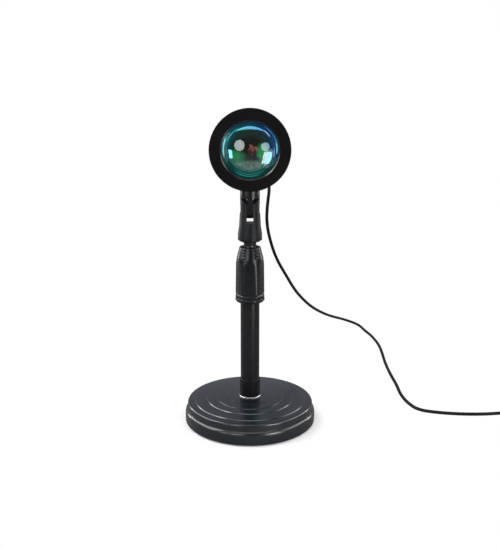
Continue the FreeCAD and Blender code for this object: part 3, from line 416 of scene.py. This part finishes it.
# ---------------------------------------------------------------- base
# A pressed steel cover in satin black enamel, with a rolled shoulder and raised rings, over a cast
# weight on a rubber pad. A bolt from below holds the column's plug.

def eased(outline, radius, steps=4):
    """A closed (radius, height) outline with each corner rounded; the axis keeps its points."""
    count, soft = len(outline), []
    for i, (r, z) in enumerate(outline):
        here = Vector((r, z))
        back = Vector(outline[i - 1]) - here
        ahead = Vector(outline[(i + 1) % count]) - here
        turn = math.pi - back.angle(ahead)
        limit = radius.get(i, radius[None]) if isinstance(radius, dict) else radius
        leg = min(limit * math.tan(turn / 2), back.length * 0.42, ahead.length * 0.42)
        if r < 1e-6 or turn < 0.12 or limit == 0.0:
            soft.append((r, z))
            continue
        start, end = here + back.normalized() * leg, here + ahead.normalized() * leg
        for k in range(steps + 1):
            t = k / steps
            point = start * (1 - t) ** 2 + here * 2 * t * (1 - t) + end * t ** 2
            soft.append((point.x, point.y))
    return soft


def spun(name, outline, *materials, steps=128, lay=None, crease=40.0):
    """A closed outline turned about Z, in millimetres, then laid in place by a matrix."""
    shape = bmesh.new()
    rings = []
    for r, z in outline:
        if r < 1e-6:
            rings.append([shape.verts.new((0.0, 0.0, z * MM))] * steps)
        else:
            rings.append([shape.verts.new((r * MM * math.cos(a), r * MM * math.sin(a), z * MM))
                          for a in (math.tau * k / steps for k in range(steps))])
    for one, other in zip(rings, rings[1:] + rings[:1]):
        for k in range(steps):
            j = (k + 1) % steps
            corners = list(dict.fromkeys((one[k], one[j], other[j], other[k])))
            if len(corners) > 2:
                shape.faces.new(corners)
    if lay is not None:
        bmesh.ops.transform(shape, matrix=lay, verts=shape.verts)
    return built(name, shape, *materials, crease=crease)


def stands_for(piece, body, slot, *nodes):
    """The piece rides a body and hides the CAD nodes that it shows better; the slot is not used."""
    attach(piece, body)
    if nodes:
        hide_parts(*nodes)


BASE_R, SHOULDER_Z = 67.8, 14.3
TIER_R, TIER_Z = 65.1, 22.4
OUTER_RING, INNER_RING = (56.9, 23.7), (44.5, 25.0)
HUB_R, HUB_Z, COLUMN_R = 11.4, 26.9, 9.72
PRESSING = 1.4

enamel = moulded("base_enamel", (0.004, 0.006, 0.008), (0.007, 0.010, 0.012), 0.24, wander=0.04,
                 grain=1500.0, depth=0.000006, patch=30.0, Specular_IOR_Level=0.68)
cover_outline = [
    (BASE_R - 1.0, 1.2), (BASE_R, 2.2), (BASE_R, SHOULDER_Z - 3.4), (BASE_R - 0.4, SHOULDER_Z - 1.6),
    (BASE_R - 1.2, SHOULDER_Z - 0.2), (TIER_R + 0.5, SHOULDER_Z + 0.5), (TIER_R, TIER_Z),
    (OUTER_RING[0] + 0.8, OUTER_RING[1] - 0.8), OUTER_RING,
    (INNER_RING[0] + 0.8, INNER_RING[1] - 0.8), INNER_RING,
    (35.1, 25.2), (34.4, 25.8), (24.7, 26.0), (24.0, 26.5),
    (HUB_R, HUB_Z), (COLUMN_R, HUB_Z), (COLUMN_R, HUB_Z - PRESSING),
    (INNER_RING[0], INNER_RING[1] - 2.2), (OUTER_RING[0], OUTER_RING[1] - 2.2),
    (TIER_R - PRESSING, TIER_Z - PRESSING), (TIER_R + 0.5 - PRESSING, SHOULDER_Z - PRESSING),
    (BASE_R - PRESSING, SHOULDER_Z - PRESSING), (BASE_R - PRESSING, 1.2),
]
SHOULDER, LEDGE, TIER, HUB = (2, 3, 4), 5, 6, 15
cover_rounds = {None: 0.45, LEDGE: 0.3, TIER: 2.6, HUB: 0.0, HUB + 1: 0.0}
cover_rounds.update({corner: 4.0 for corner in SHOULDER})
cover = spun("base_cover_shell", eased(cover_outline, cover_rounds, 6), enamel, steps=256)
stands_for(cover, "base", "satin_black", "base_cover")

dress("base_weight", moulded("cast_iron", (0.045, 0.045, 0.048), (0.09, 0.088, 0.085), 0.72,
                             grain=700.0, depth=0.0002))
dress("base_pad", moulded("pad_rubber", (0.012, 0.012, 0.012), (0.02, 0.02, 0.02), 0.8,
                          grain=1100.0, depth=0.00006))
zinc = moulded("zinc", (0.42, 0.43, 0.45), (0.55, 0.56, 0.58), 0.36, patch=220.0, Metallic=1.0)
for part in ("base_washer", "base_bolt"):
    dress(part, zinc)


# ---------------------------------------------------------------- column
# A steel tube in black enamel stands in a plain black collar with a bright foot ring; a nylon-bushed
# inner tube slides in it and is clamped by the twist grip.

dress("column_tube", moulded("tube_enamel", (0.004, 0.005, 0.005), (0.007, 0.007, 0.008), 0.30,
                             wander=0.05, depth=0.00001, patch=60.0, Specular_IOR_Level=0.24))
collar_black = moulded("collar_black", (0.003, 0.003, 0.004), (0.005, 0.005, 0.006), 0.50,
                       Specular_IOR_Level=0.12)
collar = spun("foot_collar", eased([
    (9.72, 26.9), (10.5, 26.9), (10.5, 45.6), (10.1, 46.2), (9.72, 46.2)], 0.3), collar_black)
stands_for(collar, "base", "dark_collar", "column_collar")
bright_ring = moulded("bright_ring", (0.30, 0.31, 0.33), (0.42, 0.43, 0.45), 0.26, Metallic=1.0)
flange = spun("collar_flange", eased([
    (10.52, 26.9), (11.4, 26.9), (11.4, 27.5), (11.0, 28.0), (10.52, 28.0)], 0.2), bright_ring)
stands_for(flange, "base", "dark_collar")
nylon = moulded("nylon", (0.62, 0.60, 0.54), (0.70, 0.68, 0.62), 0.5)
for part in ("column_plug", "clutch_collet", "slide_bush"):
    dress(part, nylon)
tube_steel = moulded("mast_steel", (0.10, 0.10, 0.105), (0.17, 0.17, 0.175), 0.30, wander=0.05,
                     patch=90.0, Metallic=1.0)
for part in ("inner_tube", "clutch_sleeve"):
    dress(part, tube_steel)
stud_black = moulded("stud_black", (0.005, 0.005, 0.006), (0.008, 0.008, 0.009), 0.40,
                     Specular_IOR_Level=0.20)
stud = spun("run_out_stud", eased([
    (0.0, 175.8), (5.33, 175.8), (5.33, 187.8), (6.3, 187.8), (6.3, 191.2), (7.9, 192.4),
    (7.9, 203.9), (0.0, 203.9)], 0.3), stud_black, steps=96)
stands_for(stud, "mast", "dark_steel", "thread_stud")
dress("thread_insert", moulded("brass", (0.60, 0.42, 0.17), (0.72, 0.52, 0.24), 0.35,
                               patch=200.0, Metallic=1.0))


# ---------------------------------------------------------------- twist grip
# A six-sided moulded grip with a tapered nose; three short notches on each corner give it bite. It
# turns on a fixed ring.

grip_black = moulded("grip_black", (0.003, 0.004, 0.005), (0.006, 0.007, 0.008), 0.26, wander=0.05,
                     grain=1400.0, depth=0.000012, Specular_IOR_Level=0.30)
ring = spun("clutch_foot_ring", eased([
    (9.72, 129.7), (13.3, 129.7), (14.9, 131.3), (14.9, 133.3), (14.4, 133.9), (9.72, 133.9)],
    0.4), grip_black)
stands_for(ring, "base", "grip_black", "clutch_ring")


def grip_tree():
    """Cuts flats and notches into a turned grip: each point moves in to the nearest flat."""
    tree = bpy.data.node_groups.new("grip_sides", "GeometryNodeTree")
    for name, kind in (("Geometry", "NodeSocketGeometry"), ("Sides", "NodeSocketFloat"),
                       ("Flat", "NodeSocketFloat"), ("Top", "NodeSocketFloat"),
                       ("Pitch", "NodeSocketFloat"), ("Depth", "NodeSocketFloat"),
                       ("Width", "NodeSocketFloat"), ("Seam", "NodeSocketFloat"),
                       ("Finish", "NodeSocketMaterial")):
        tree.interface.new_socket(name, in_out="INPUT", socket_type=kind)
    tree.interface.new_socket("Geometry", in_out="OUTPUT", socket_type="NodeSocketGeometry")
    graph = Graph(tree)
    given = tree.nodes.new("NodeGroupInput").outputs
    geometry, sides, flat, top, pitch, depth, width, seam, finish = [
        Wire(graph, socket) for socket in given[:9]]
    x, y, z = graph.parts(graph.node("GeometryNodeInputPosition"))
    radius = (x * x + y * y) ** 0.5
    step = math.tau / sides
    angle = y.math("ARCTAN2", x)
    # the angle from the nearest corner, and from the middle of the nearest flat
    off = (angle + step * 0.5).math("FLOORED_MODULO", step) - step * 0.5
    from_flat = step * 0.5 - off.math("ABSOLUTE")
    # each flat bulges a little towards its middle
    reach = flat / (from_flat * 0.8).math("COSINE")
    kept = radius.math("SMOOTH_MIN", reach, 0.0006)
    drop = top - z
    row = (drop / pitch).math("FLOORED_MODULO", 1.0)
    in_row = row.near(0.0, 0.24).math("MAXIMUM", row.near(1.0, 0.24))
    rows = drop.ramp(pitch * 0.6, pitch * 0.7) * (1.0 - drop.ramp(pitch * 3.3, pitch * 3.4))
    along = (off * radius).math("ABSOLUTE")
    bite = (1.0 - along.ramp(width * 0.40, width * 0.52)) * in_row * rows * depth
    outer = radius.ramp(flat * 0.72, flat * 0.76)
    groove = (z - seam).near(0.0, 0.0009) * 0.0007
    share = (radius + (kept - bite - groove - radius) * outer) / radius
    moved = graph.node("ShaderNodeCombineXYZ", {}, {0: x * share, 1: y * share, 2: z})
    placed = graph.node("GeometryNodeSetPosition", {}, {"Geometry": geometry, "Position": moved})
    dressed = graph.node("GeometryNodeSetMaterial", {}, {"Geometry": placed, "Material": finish})
    out = tree.nodes.new("NodeGroupOutput")
    graph.feed(out.inputs[0], dressed)
    return tree


def grown(thing, tree, **sizes):
    """Run a geometry tree on an object and keep its result as a plain mesh."""
    modifier = thing.modifiers.new("tree", "NODES")
    modifier.node_group = tree
    names = {item.name: item.identifier for item in tree.interface.items_tree
             if item.in_out == "INPUT"}
    for name, value in sizes.items():
        modifier[names[name]] = value
    bpy.context.view_layer.update()
    mesh = bpy.data.meshes.new_from_object(
        thing.evaluated_get(bpy.context.evaluated_depsgraph_get()))
    thing.modifiers.remove(modifier)
    thing.data = mesh
    mesh.name = thing.name
    mesh.shade_smooth()
    mesh.set_sharp_from_angle(angle=math.radians(40.0))


grip_outline = eased([
    (11.46, 134.2), (14.2, 134.2), (14.75, 134.9), (14.2, 169.3), (13.4, 175.3), (10.6, 186.3),
    (9.5, 186.3), (8.3, 180.3), (8.4, 177.0), (11.46, 168.5)],
    {None: 0.4, 1: 0.2, 2: 0.2, 3: 4.0, 4: 6.0, 5: 0.5})


def divided(outline, longest):
    """The outline with its long runs divided, so that a tree can shape them."""
    fine = []
    for (r0, z0), (r1, z1) in zip(outline, outline[1:] + outline[:1]):
        count = max(1, math.ceil(math.hypot(r1 - r0, z1 - z0) / longest))
        fine += [(r0 + (r1 - r0) * k / count, z0 + (z1 - z0) * k / count) for k in range(count)]
    return fine


grip = spun("twist_grip", divided(grip_outline, 0.35), grip_black, steps=288)
grown(grip, grip_tree(), Sides=6.0, Flat=0.01355, Top=0.1863, Pitch=0.0027, Depth=0.0006,
      Width=0.0044, Seam=0.1378, Finish=grip_black)
stands_for(grip, "clutch", "grip_black", "clutch_grip")


# ---------------------------------------------------------------- tilting joint
# A moulded fork with a brass thread turns on the inner tube; a socket screw and a nut pinch the
# neck's tongue between two fibre washers.

def softened(node_name, name, width, material):
    """A merged copy of a CAD node with its edges rounded."""
    shape = bmesh.new()
    shape.from_mesh(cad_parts[node_name].data)
    bmesh.ops.remove_doubles(shape, verts=shape.verts, dist=0.000004)
    bmesh.ops.dissolve_limit(shape, angle_limit=math.radians(2.0), verts=shape.verts,
                             edges=shape.edges)
    thing = built(name, shape, material)
    bevel = thing.modifiers.new("edge", "BEVEL")
    bevel.width, bevel.segments, bevel.limit_method = width, 3, "ANGLE"
    bevel.angle_limit = math.radians(28.0)
    bevel.use_clamp_overlap = True
    bevel.harden_normals = False
    bpy.context.view_layer.update()
    done = bpy.data.meshes.new_from_object(
        thing.evaluated_get(bpy.context.evaluated_depsgraph_get()))
    thing.modifiers.remove(bevel)
    thing.data = done
    done.name = name
    done.shade_smooth()
    done.set_sharp_from_angle(angle=math.radians(30.0))
    return thing


fork_black = moulded("fork_black", (0.005, 0.006, 0.007), (0.008, 0.010, 0.011), 0.40, wander=0.05,
                     Specular_IOR_Level=0.16)
fork = softened("swivel_housing", "fork", 0.0004, fork_black)
stands_for(fork, "swivel", "satin_black", "swivel_housing")
neck_black = moulded("neck_black", (0.003, 0.003, 0.004), (0.006, 0.006, 0.007), 0.26, wander=0.05,
                     Specular_IOR_Level=0.36)
neck = softened("neck_bracket", "neck", 0.0004, neck_black)
stands_for(neck, "head", "satin_black", "neck_bracket")
for part in ("pivot_screw", "pivot_nut", "neck_screws", "cap_screws"):
    dress(part, moulded(f"{part}_steel", (0.03, 0.03, 0.032), (0.06, 0.06, 0.062), 0.35,
                        Metallic=1.0))
dress("friction_washers", moulded("fibre", (0.006, 0.006, 0.006), (0.010, 0.009, 0.009), 0.8))


# ---------------------------------------------------------------- head
# Turned aluminium, matte black: a wide front ring screws on the drum and holds the lens, and a
# black ring with a bevelled mouth retains it.

HEAD_AXIS = 0.2857
HEAD_LAY = Matrix.Translation((0.0, -0.040, HEAD_AXIS)) @ Matrix.Rotation(-math.pi / 2, 4, "X")
RIM_R, DRUM_R, DRUM_BORE = 38.4, 34.5, 33.0
MOUTH_R, SEAT_R = 28.2, 30.42
RIM_DEPTH, DRUM_START, DRUM_END = 12.0, 9.0, 52.0
LENS_SEAT, LENS_BACK = 8.2, 11.2

head_black = moulded("head_black", (0.0030, 0.0026, 0.0032), (0.0044, 0.0036, 0.0044), 0.58,
                     wander=0.06, grain=2400.0, depth=0.00002, Specular_IOR_Level=0.05)
bezel = spun("front_ring", eased([
    (MOUTH_R, 0.0), (RIM_R, 0.0), (RIM_R, RIM_DEPTH), (DRUM_R + 0.02, RIM_DEPTH),
    (DRUM_R + 0.02, DRUM_START), (SEAT_R, DRUM_START), (SEAT_R, LENS_SEAT), (MOUTH_R, LENS_SEAT)],
    {None: 0.25, 0: 0.5, 1: 0.9, 2: 0.6}), head_black, steps=256, lay=HEAD_LAY)
stands_for(bezel, "head", "matte_black", "front_bezel")
drum = spun("drum", eased([
    (DRUM_BORE, DRUM_START), (DRUM_R, DRUM_START), (DRUM_R, DRUM_END), (DRUM_BORE, DRUM_END)],
    0.3), head_black, steps=192, lay=HEAD_LAY)
stands_for(drum, "head", "matte_black", "lamp_housing")

RETAINER_BORE, RETAINER_FACE = 26.7, 1.1
ring_black = moulded("ring_black", (0.005, 0.006, 0.007), (0.009, 0.010, 0.011), 0.22, wander=0.04,
                     patch=120.0, Specular_IOR_Level=0.60)
retainer = spun("retaining_ring", eased([
    (RETAINER_BORE, LENS_SEAT), (RETAINER_BORE, RETAINER_FACE + 1.4),
    (RETAINER_BORE + 1.3, RETAINER_FACE), (MOUTH_R - 0.02, RETAINER_FACE),
    (MOUTH_R - 0.02, LENS_SEAT)], 0.12), ring_black, steps=192, lay=HEAD_LAY)
stands_for(retainer, "head", "dark_collar", "lens_ring")


# ---------------------------------------------------------------- heat sink
# Five thin cooling fins on a hollow turned core, in black anodised aluminium. A bevelled cap on
# three screws closes the core, and the lead leaves it through a ribbed sleeve.

FINS, FIN_PITCH, FIN_THICK, FIN_R = 5, 4.6, 2.0, 34.5
CORE_R, CORE_START, CORE_END = 24.0, 50.0, 76.0

sink_black = moulded("sink_black", (0.010, 0.010, 0.011), (0.018, 0.018, 0.019), 0.36,
                     wander=0.06, Metallic=0.5)


def row_tree():
    """Repeats one piece at even steps."""
    tree = bpy.data.node_groups.new("even_row", "GeometryNodeTree")
    for name, kind in (("Geometry", "NodeSocketGeometry"), ("Count", "NodeSocketInt"),
                       ("Step", "NodeSocketVector"), ("Finish", "NodeSocketMaterial")):
        tree.interface.new_socket(name, in_out="INPUT", socket_type=kind)
    tree.interface.new_socket("Geometry", in_out="OUTPUT", socket_type="NodeSocketGeometry")
    graph = Graph(tree)
    given = tree.nodes.new("NodeGroupInput").outputs
    geometry, count, step, finish = [Wire(graph, socket) for socket in given[:4]]
    line = graph.node("GeometryNodeMeshLine", {}, {"Count": count, "Offset": step})
    row = graph.node("GeometryNodeInstanceOnPoints", {}, {"Points": line, "Instance": geometry})
    solid = graph.node("GeometryNodeRealizeInstances", {}, {"Geometry": row})
    graph.feed(tree.nodes.new("NodeGroupOutput").inputs[0], graph.node(
        "GeometryNodeSetMaterial", {}, {"Geometry": solid, "Material": finish}))
    return tree


fins = spun("cooling_fins", eased([
    (CORE_R - 0.5, DRUM_END), (FIN_R, DRUM_END), (FIN_R, DRUM_END + FIN_THICK),
    (CORE_R - 0.5, DRUM_END + FIN_THICK)], 0.35), sink_black, steps=160, lay=HEAD_LAY)
grown(fins, row_tree(), Count=FINS, Step=(0.0, FIN_PITCH * MM, 0.0), Finish=sink_black)
stands_for(fins, "head", "matte_black", "heat_sink")
core = spun("sink_core", eased([
    (19.6, CORE_START + 7.0), (19.6, CORE_END), (CORE_R, CORE_END), (CORE_R, CORE_START + 4.0),
    (DRUM_BORE - 0.02, CORE_START + 4.0), (DRUM_BORE - 0.02, CORE_START), (0.0, CORE_START),
    (0.0, CORE_START + 7.0)], 0.3), sink_black, lay=HEAD_LAY)
stands_for(core, "head", "matte_black")

cap = softened("rear_cap", "back_cap", 0.0004, head_black)
stands_for(cap, "head", "matte_black", "rear_cap")
CAP_BACK, SLEEVE_FOOT_R, SLEEVE_TIP_R, SLEEVE_END, SLEEVE_RIBS = 84.0, 3.75, 2.5, 105.9, 6
sleeve_black = moulded("sleeve_black", (0.008, 0.008, 0.008), (0.013, 0.013, 0.013), 0.55)
sleeve_outline = [(0.0, 76.0), (4.0, 76.0), (4.0, CAP_BACK), (6.2, CAP_BACK),
                  (5.6, CAP_BACK + 1.6)]
sleeve_start = CAP_BACK + 2.6
rib_pitch = (SLEEVE_END - 1.2 - sleeve_start) / SLEEVE_RIBS
for rib in range(SLEEVE_RIBS):
    for share, sunk in ((0.0, 0.0), (0.62, 0.0), (0.70, 0.55), (0.92, 0.55)):
        along = sleeve_start + rib_pitch * (rib + share)
        taper = (along - sleeve_start) / (SLEEVE_END - sleeve_start)
        sleeve_outline.append((SLEEVE_FOOT_R + (SLEEVE_TIP_R - SLEEVE_FOOT_R) * taper - sunk, along))
sleeve_outline += [(SLEEVE_TIP_R + 0.05, SLEEVE_END - 1.2), (SLEEVE_TIP_R, SLEEVE_END),
                   (0.0, SLEEVE_END)]
relief = spun("ribbed_sleeve", eased(sleeve_outline, 0.18, 2), sleeve_black, steps=64,
              lay=HEAD_LAY)
stands_for(relief, "head", "cord_black", "strain_relief")

for part, tone in (("lens_seal", 0.012), ("lens_barrel", 0.010), ("driver_board", 0.05),
                   ("led_board", 0.6), ("led_chip", 0.7), ("reflector_cup", 0.7)):
    dress(part, moulded(f"{part}_plain", (tone * 0.8,) * 3, (tone,) * 3, 0.5))


# ---------------------------------------------------------------- lens
# A thick glass dome with a blue-green dichroic coat that grows towards its rim; the bright arcs at its
# rim are painted reflections of lamps, glowing in the coat. Behind it a second coated disc glows with a
# painted pattern: a red heart that is a painted reflection of the LED, green patches, and a teal rim
# with painted highlight lines; the glow is painted light in place of what the glass lets in.

DOME_R, DOME_RISE, DOME_STEPS = 26.6, 7.8, 28
LENS_R = 30.4
dome_curve = (DOME_R ** 2 / DOME_RISE + DOME_RISE) / 2


def from_axis(finish):
    """Distance from the head's axis, and height over it, at a point of a lens surface."""
    across, _, height = finish.parts(finish.place)
    up = height - HEAD_AXIS
    return (across * across + up * up) ** 0.5, across, up


clear_glass = Finish("clear_glass", Base_Color=(0.86, 0.97, 0.95), Roughness=0.0, IOR=1.5,
                     Transmission_Weight=1.0)
coated = Finish("coated_glass", Base_Color=(0.86, 0.97, 0.95), Roughness=0.01, IOR=1.5,
                Transmission_Weight=1.0)
radius, across, up = from_axis(coated)
side = coated.blend(across.ramp(-0.020, 0.022), (0.10, 0.80, 0.85), (0.08, 0.34, 0.90))
hue = coated.blend(up.ramp(-0.004, -0.018), side, (0.05, 0.45, 0.36))
hue = coated.blend(radius.ramp(0.010, 0.019), (0.78, 0.84, 0.82), hue)
bearing = up.math("ARCTAN2", across)
back_bearing = up.math("ARCTAN2", -across)


def arc_at(way, distance, width, middle, spread):
    """1 along a soft arc round the head's axis, 0 away from it."""
    off = (way - middle).math("ABSOLUTE")
    return radius.near(distance, width) * (1.0 - off.ramp(spread * 0.5, spread))


# painted reflections of lamps, glowing at the coat's edge: (direction, distance, width, middle angle,
# spread, colour)
glints = [(back_bearing, 0.0250, 0.0013, 0.12, 0.46, (0.30, 0.92, 1.00)),
          (back_bearing, 0.0228, 0.0006, 0.75, 0.50, (0.03, 0.42, 0.60)),
          (bearing, 0.0222, 0.0010, 0.78, 0.24, (0.42, 0.62, 1.00)),
          (bearing, 0.0254, 0.0010, 0.55, 0.60, (0.02, 0.20, 0.50)),
          (bearing, 0.0252, 0.0012, 0.06, 0.26, (0.26, 0.72, 1.00)),
          (bearing, 0.0228, 0.0008, -0.08, 0.26, (0.10, 0.45, 0.80)),
          (bearing, 0.0226, 0.0005, -1.57, 0.85, (0.02, 0.28, 0.22)),
          (bearing, 0.0246, 0.0005, -1.70, 0.60, (0.03, 0.40, 0.34))]
painted, glint = None, (0.0, 0.0, 0.0)
for way, distance, width, middle, spread, colour in glints:
    arc = arc_at(way, distance, width, middle, spread)
    painted = arc if painted is None else painted.math("MAXIMUM", arc)
    glint = coated.blend(arc, glint, colour)
# the coat's mirror glows with the painted lamp reflections: painted light, though the lens is no lamp
mirror = coated.node("ShaderNodeBsdfPrincipled", {}, {
    "Base Color": hue, "Metallic": 1.0, "Roughness": 0.06, "Emission Color": glint,
    "Emission Strength": 0.9})
coat = radius.ramp(0.0150, 0.0262) * 0.50 + 0.05
coated.end_in(coated.node("ShaderNodeMixShader", {}, {
    0: coat.math("MAXIMUM", painted), 1: Wire(coated, coated.shader.outputs[0]), 2: mirror}))

dome = [(DOME_R * k / DOME_STEPS,
         LENS_SEAT - DOME_RISE + dome_curve
         - math.sqrt(dome_curve ** 2 - (DOME_R * k / DOME_STEPS) ** 2))
        for k in range(DOME_STEPS + 1)]
lens = spun("lens_dome", dome + [(LENS_R, LENS_SEAT), (LENS_R, LENS_BACK), (0.0, LENS_BACK)],
            clear_glass.material, coated.material, steps=160, lay=HEAD_LAY, crease=25.0)
for face in lens.data.polygons:
    face.material_index = 1 if face.center.y < HEAD_FACE[1] + (LENS_SEAT - 0.01) * MM else 0
stands_for(lens, "head", "lens_glass", "lens")

# the disc glows with its own pattern: painted light, standing in for the light that reaches it through
# the glass
disc_coat = Finish("dichroic_coat_and_glow", Roughness=0.25, Specular_IOR_Level=0.05,
                   Emission_Strength=0.8)
radius, across, up = from_axis(disc_coat)
HEART_SHIFT = 0.0022
turn = up.math("ARCTAN2", across - HEART_SHIFT)
swirl = disc_coat.noise(110.0, 3.0)
fine = disc_coat.noise(420.0, 2.0)
petals = (turn * 4.0 + swirl * 12.0).math("SINE") * 0.0007 + 0.0038
from_heart = ((across - HEART_SHIFT) ** 2.0 + up * up) ** 0.5
# the red heart in the middle is a painted reflection of the LED
painted_led_reflection = 1.0 - (from_heart - petals).ramp(-0.0010, 0.0010)


def patch_at(x, z, size):
    """1 in the middle of a soft round patch, 0 outside."""
    gap = ((across - x) * (across - x) + (up - z) * (up - z)) ** 0.5
    return 1.0 - (gap + (swirl - 0.5) * 0.012).ramp(size * 0.35, size)


tone = disc_coat.blend(radius.ramp(0.009, 0.017), (0.005, 0.006, 0.003), (0.004, 0.022, 0.018))
tone = disc_coat.blend(patch_at(-0.0105, -0.0065, 0.0085) * 0.9, tone, (0.010, 0.150, 0.050))
tone = disc_coat.blend(patch_at(0.0105, -0.0030, 0.0090) * 0.9, tone, (0.020, 0.200, 0.070))
floor_zone = up.ramp(-0.0075, -0.0130) * (1.0 - radius.ramp(0.0185, 0.0215))
tone = disc_coat.blend(floor_zone * (fine * 1.4 - 0.1), tone, (0.130, 0.190, 0.160))
rim_hue = disc_coat.blend(across.ramp(-0.016, 0.018), (0.005, 0.055, 0.070), (0.004, 0.030, 0.110))
rim_hue = disc_coat.blend(up.ramp(-0.002, -0.014), rim_hue, (0.004, 0.050, 0.040))
# thin bright rings near the rim are painted highlights
painted_highlight_lines = (radius * 3600.0).math("SINE").ramp(0.80, 1.0)
rim_hue = disc_coat.blend(painted_highlight_lines * 0.5, rim_hue, (0.060, 0.300, 0.330))
tone = disc_coat.blend(radius.ramp(0.0165, 0.0205), tone, rim_hue)
tone = disc_coat.blend(painted_led_reflection, tone, disc_coat.blend(fine.ramp(0.42, 0.62), (0.045, 0.010, 0.012),
                                                    (0.210, 0.070, 0.066)))
disc_coat.set("Base_Color", tone)
# the pattern is also the disc's glow, which is painted light
disc_coat.set("Emission_Color", tone)
dress("dichroic_filter", disc_coat.material)


# ---------------------------------------------------------------- plug
# A moulded plug with a nickel shell and a white contact card; a tapered sleeve eases the lead in.

plug_black = moulded("plug_black", (0.012, 0.012, 0.013), (0.018, 0.018, 0.019), 0.5)
sleeve = softened("plug_relief", "plug_sleeve", 0.0003, plug_black)
stands_for(sleeve, "base", "cord_black", "plug_relief")
grip_block = softened("plug_body", "plug_grip", 0.0006, plug_black)
stands_for(grip_block, "base", "cord_black", "plug_body")
dress("plug_shell", moulded("nickel", (0.55, 0.54, 0.52), (0.64, 0.63, 0.61), 0.25, Metallic=1.0))
dress("plug_tongue", moulded("contact_card", (0.75, 0.75, 0.73), (0.82, 0.82, 0.80), 0.5))
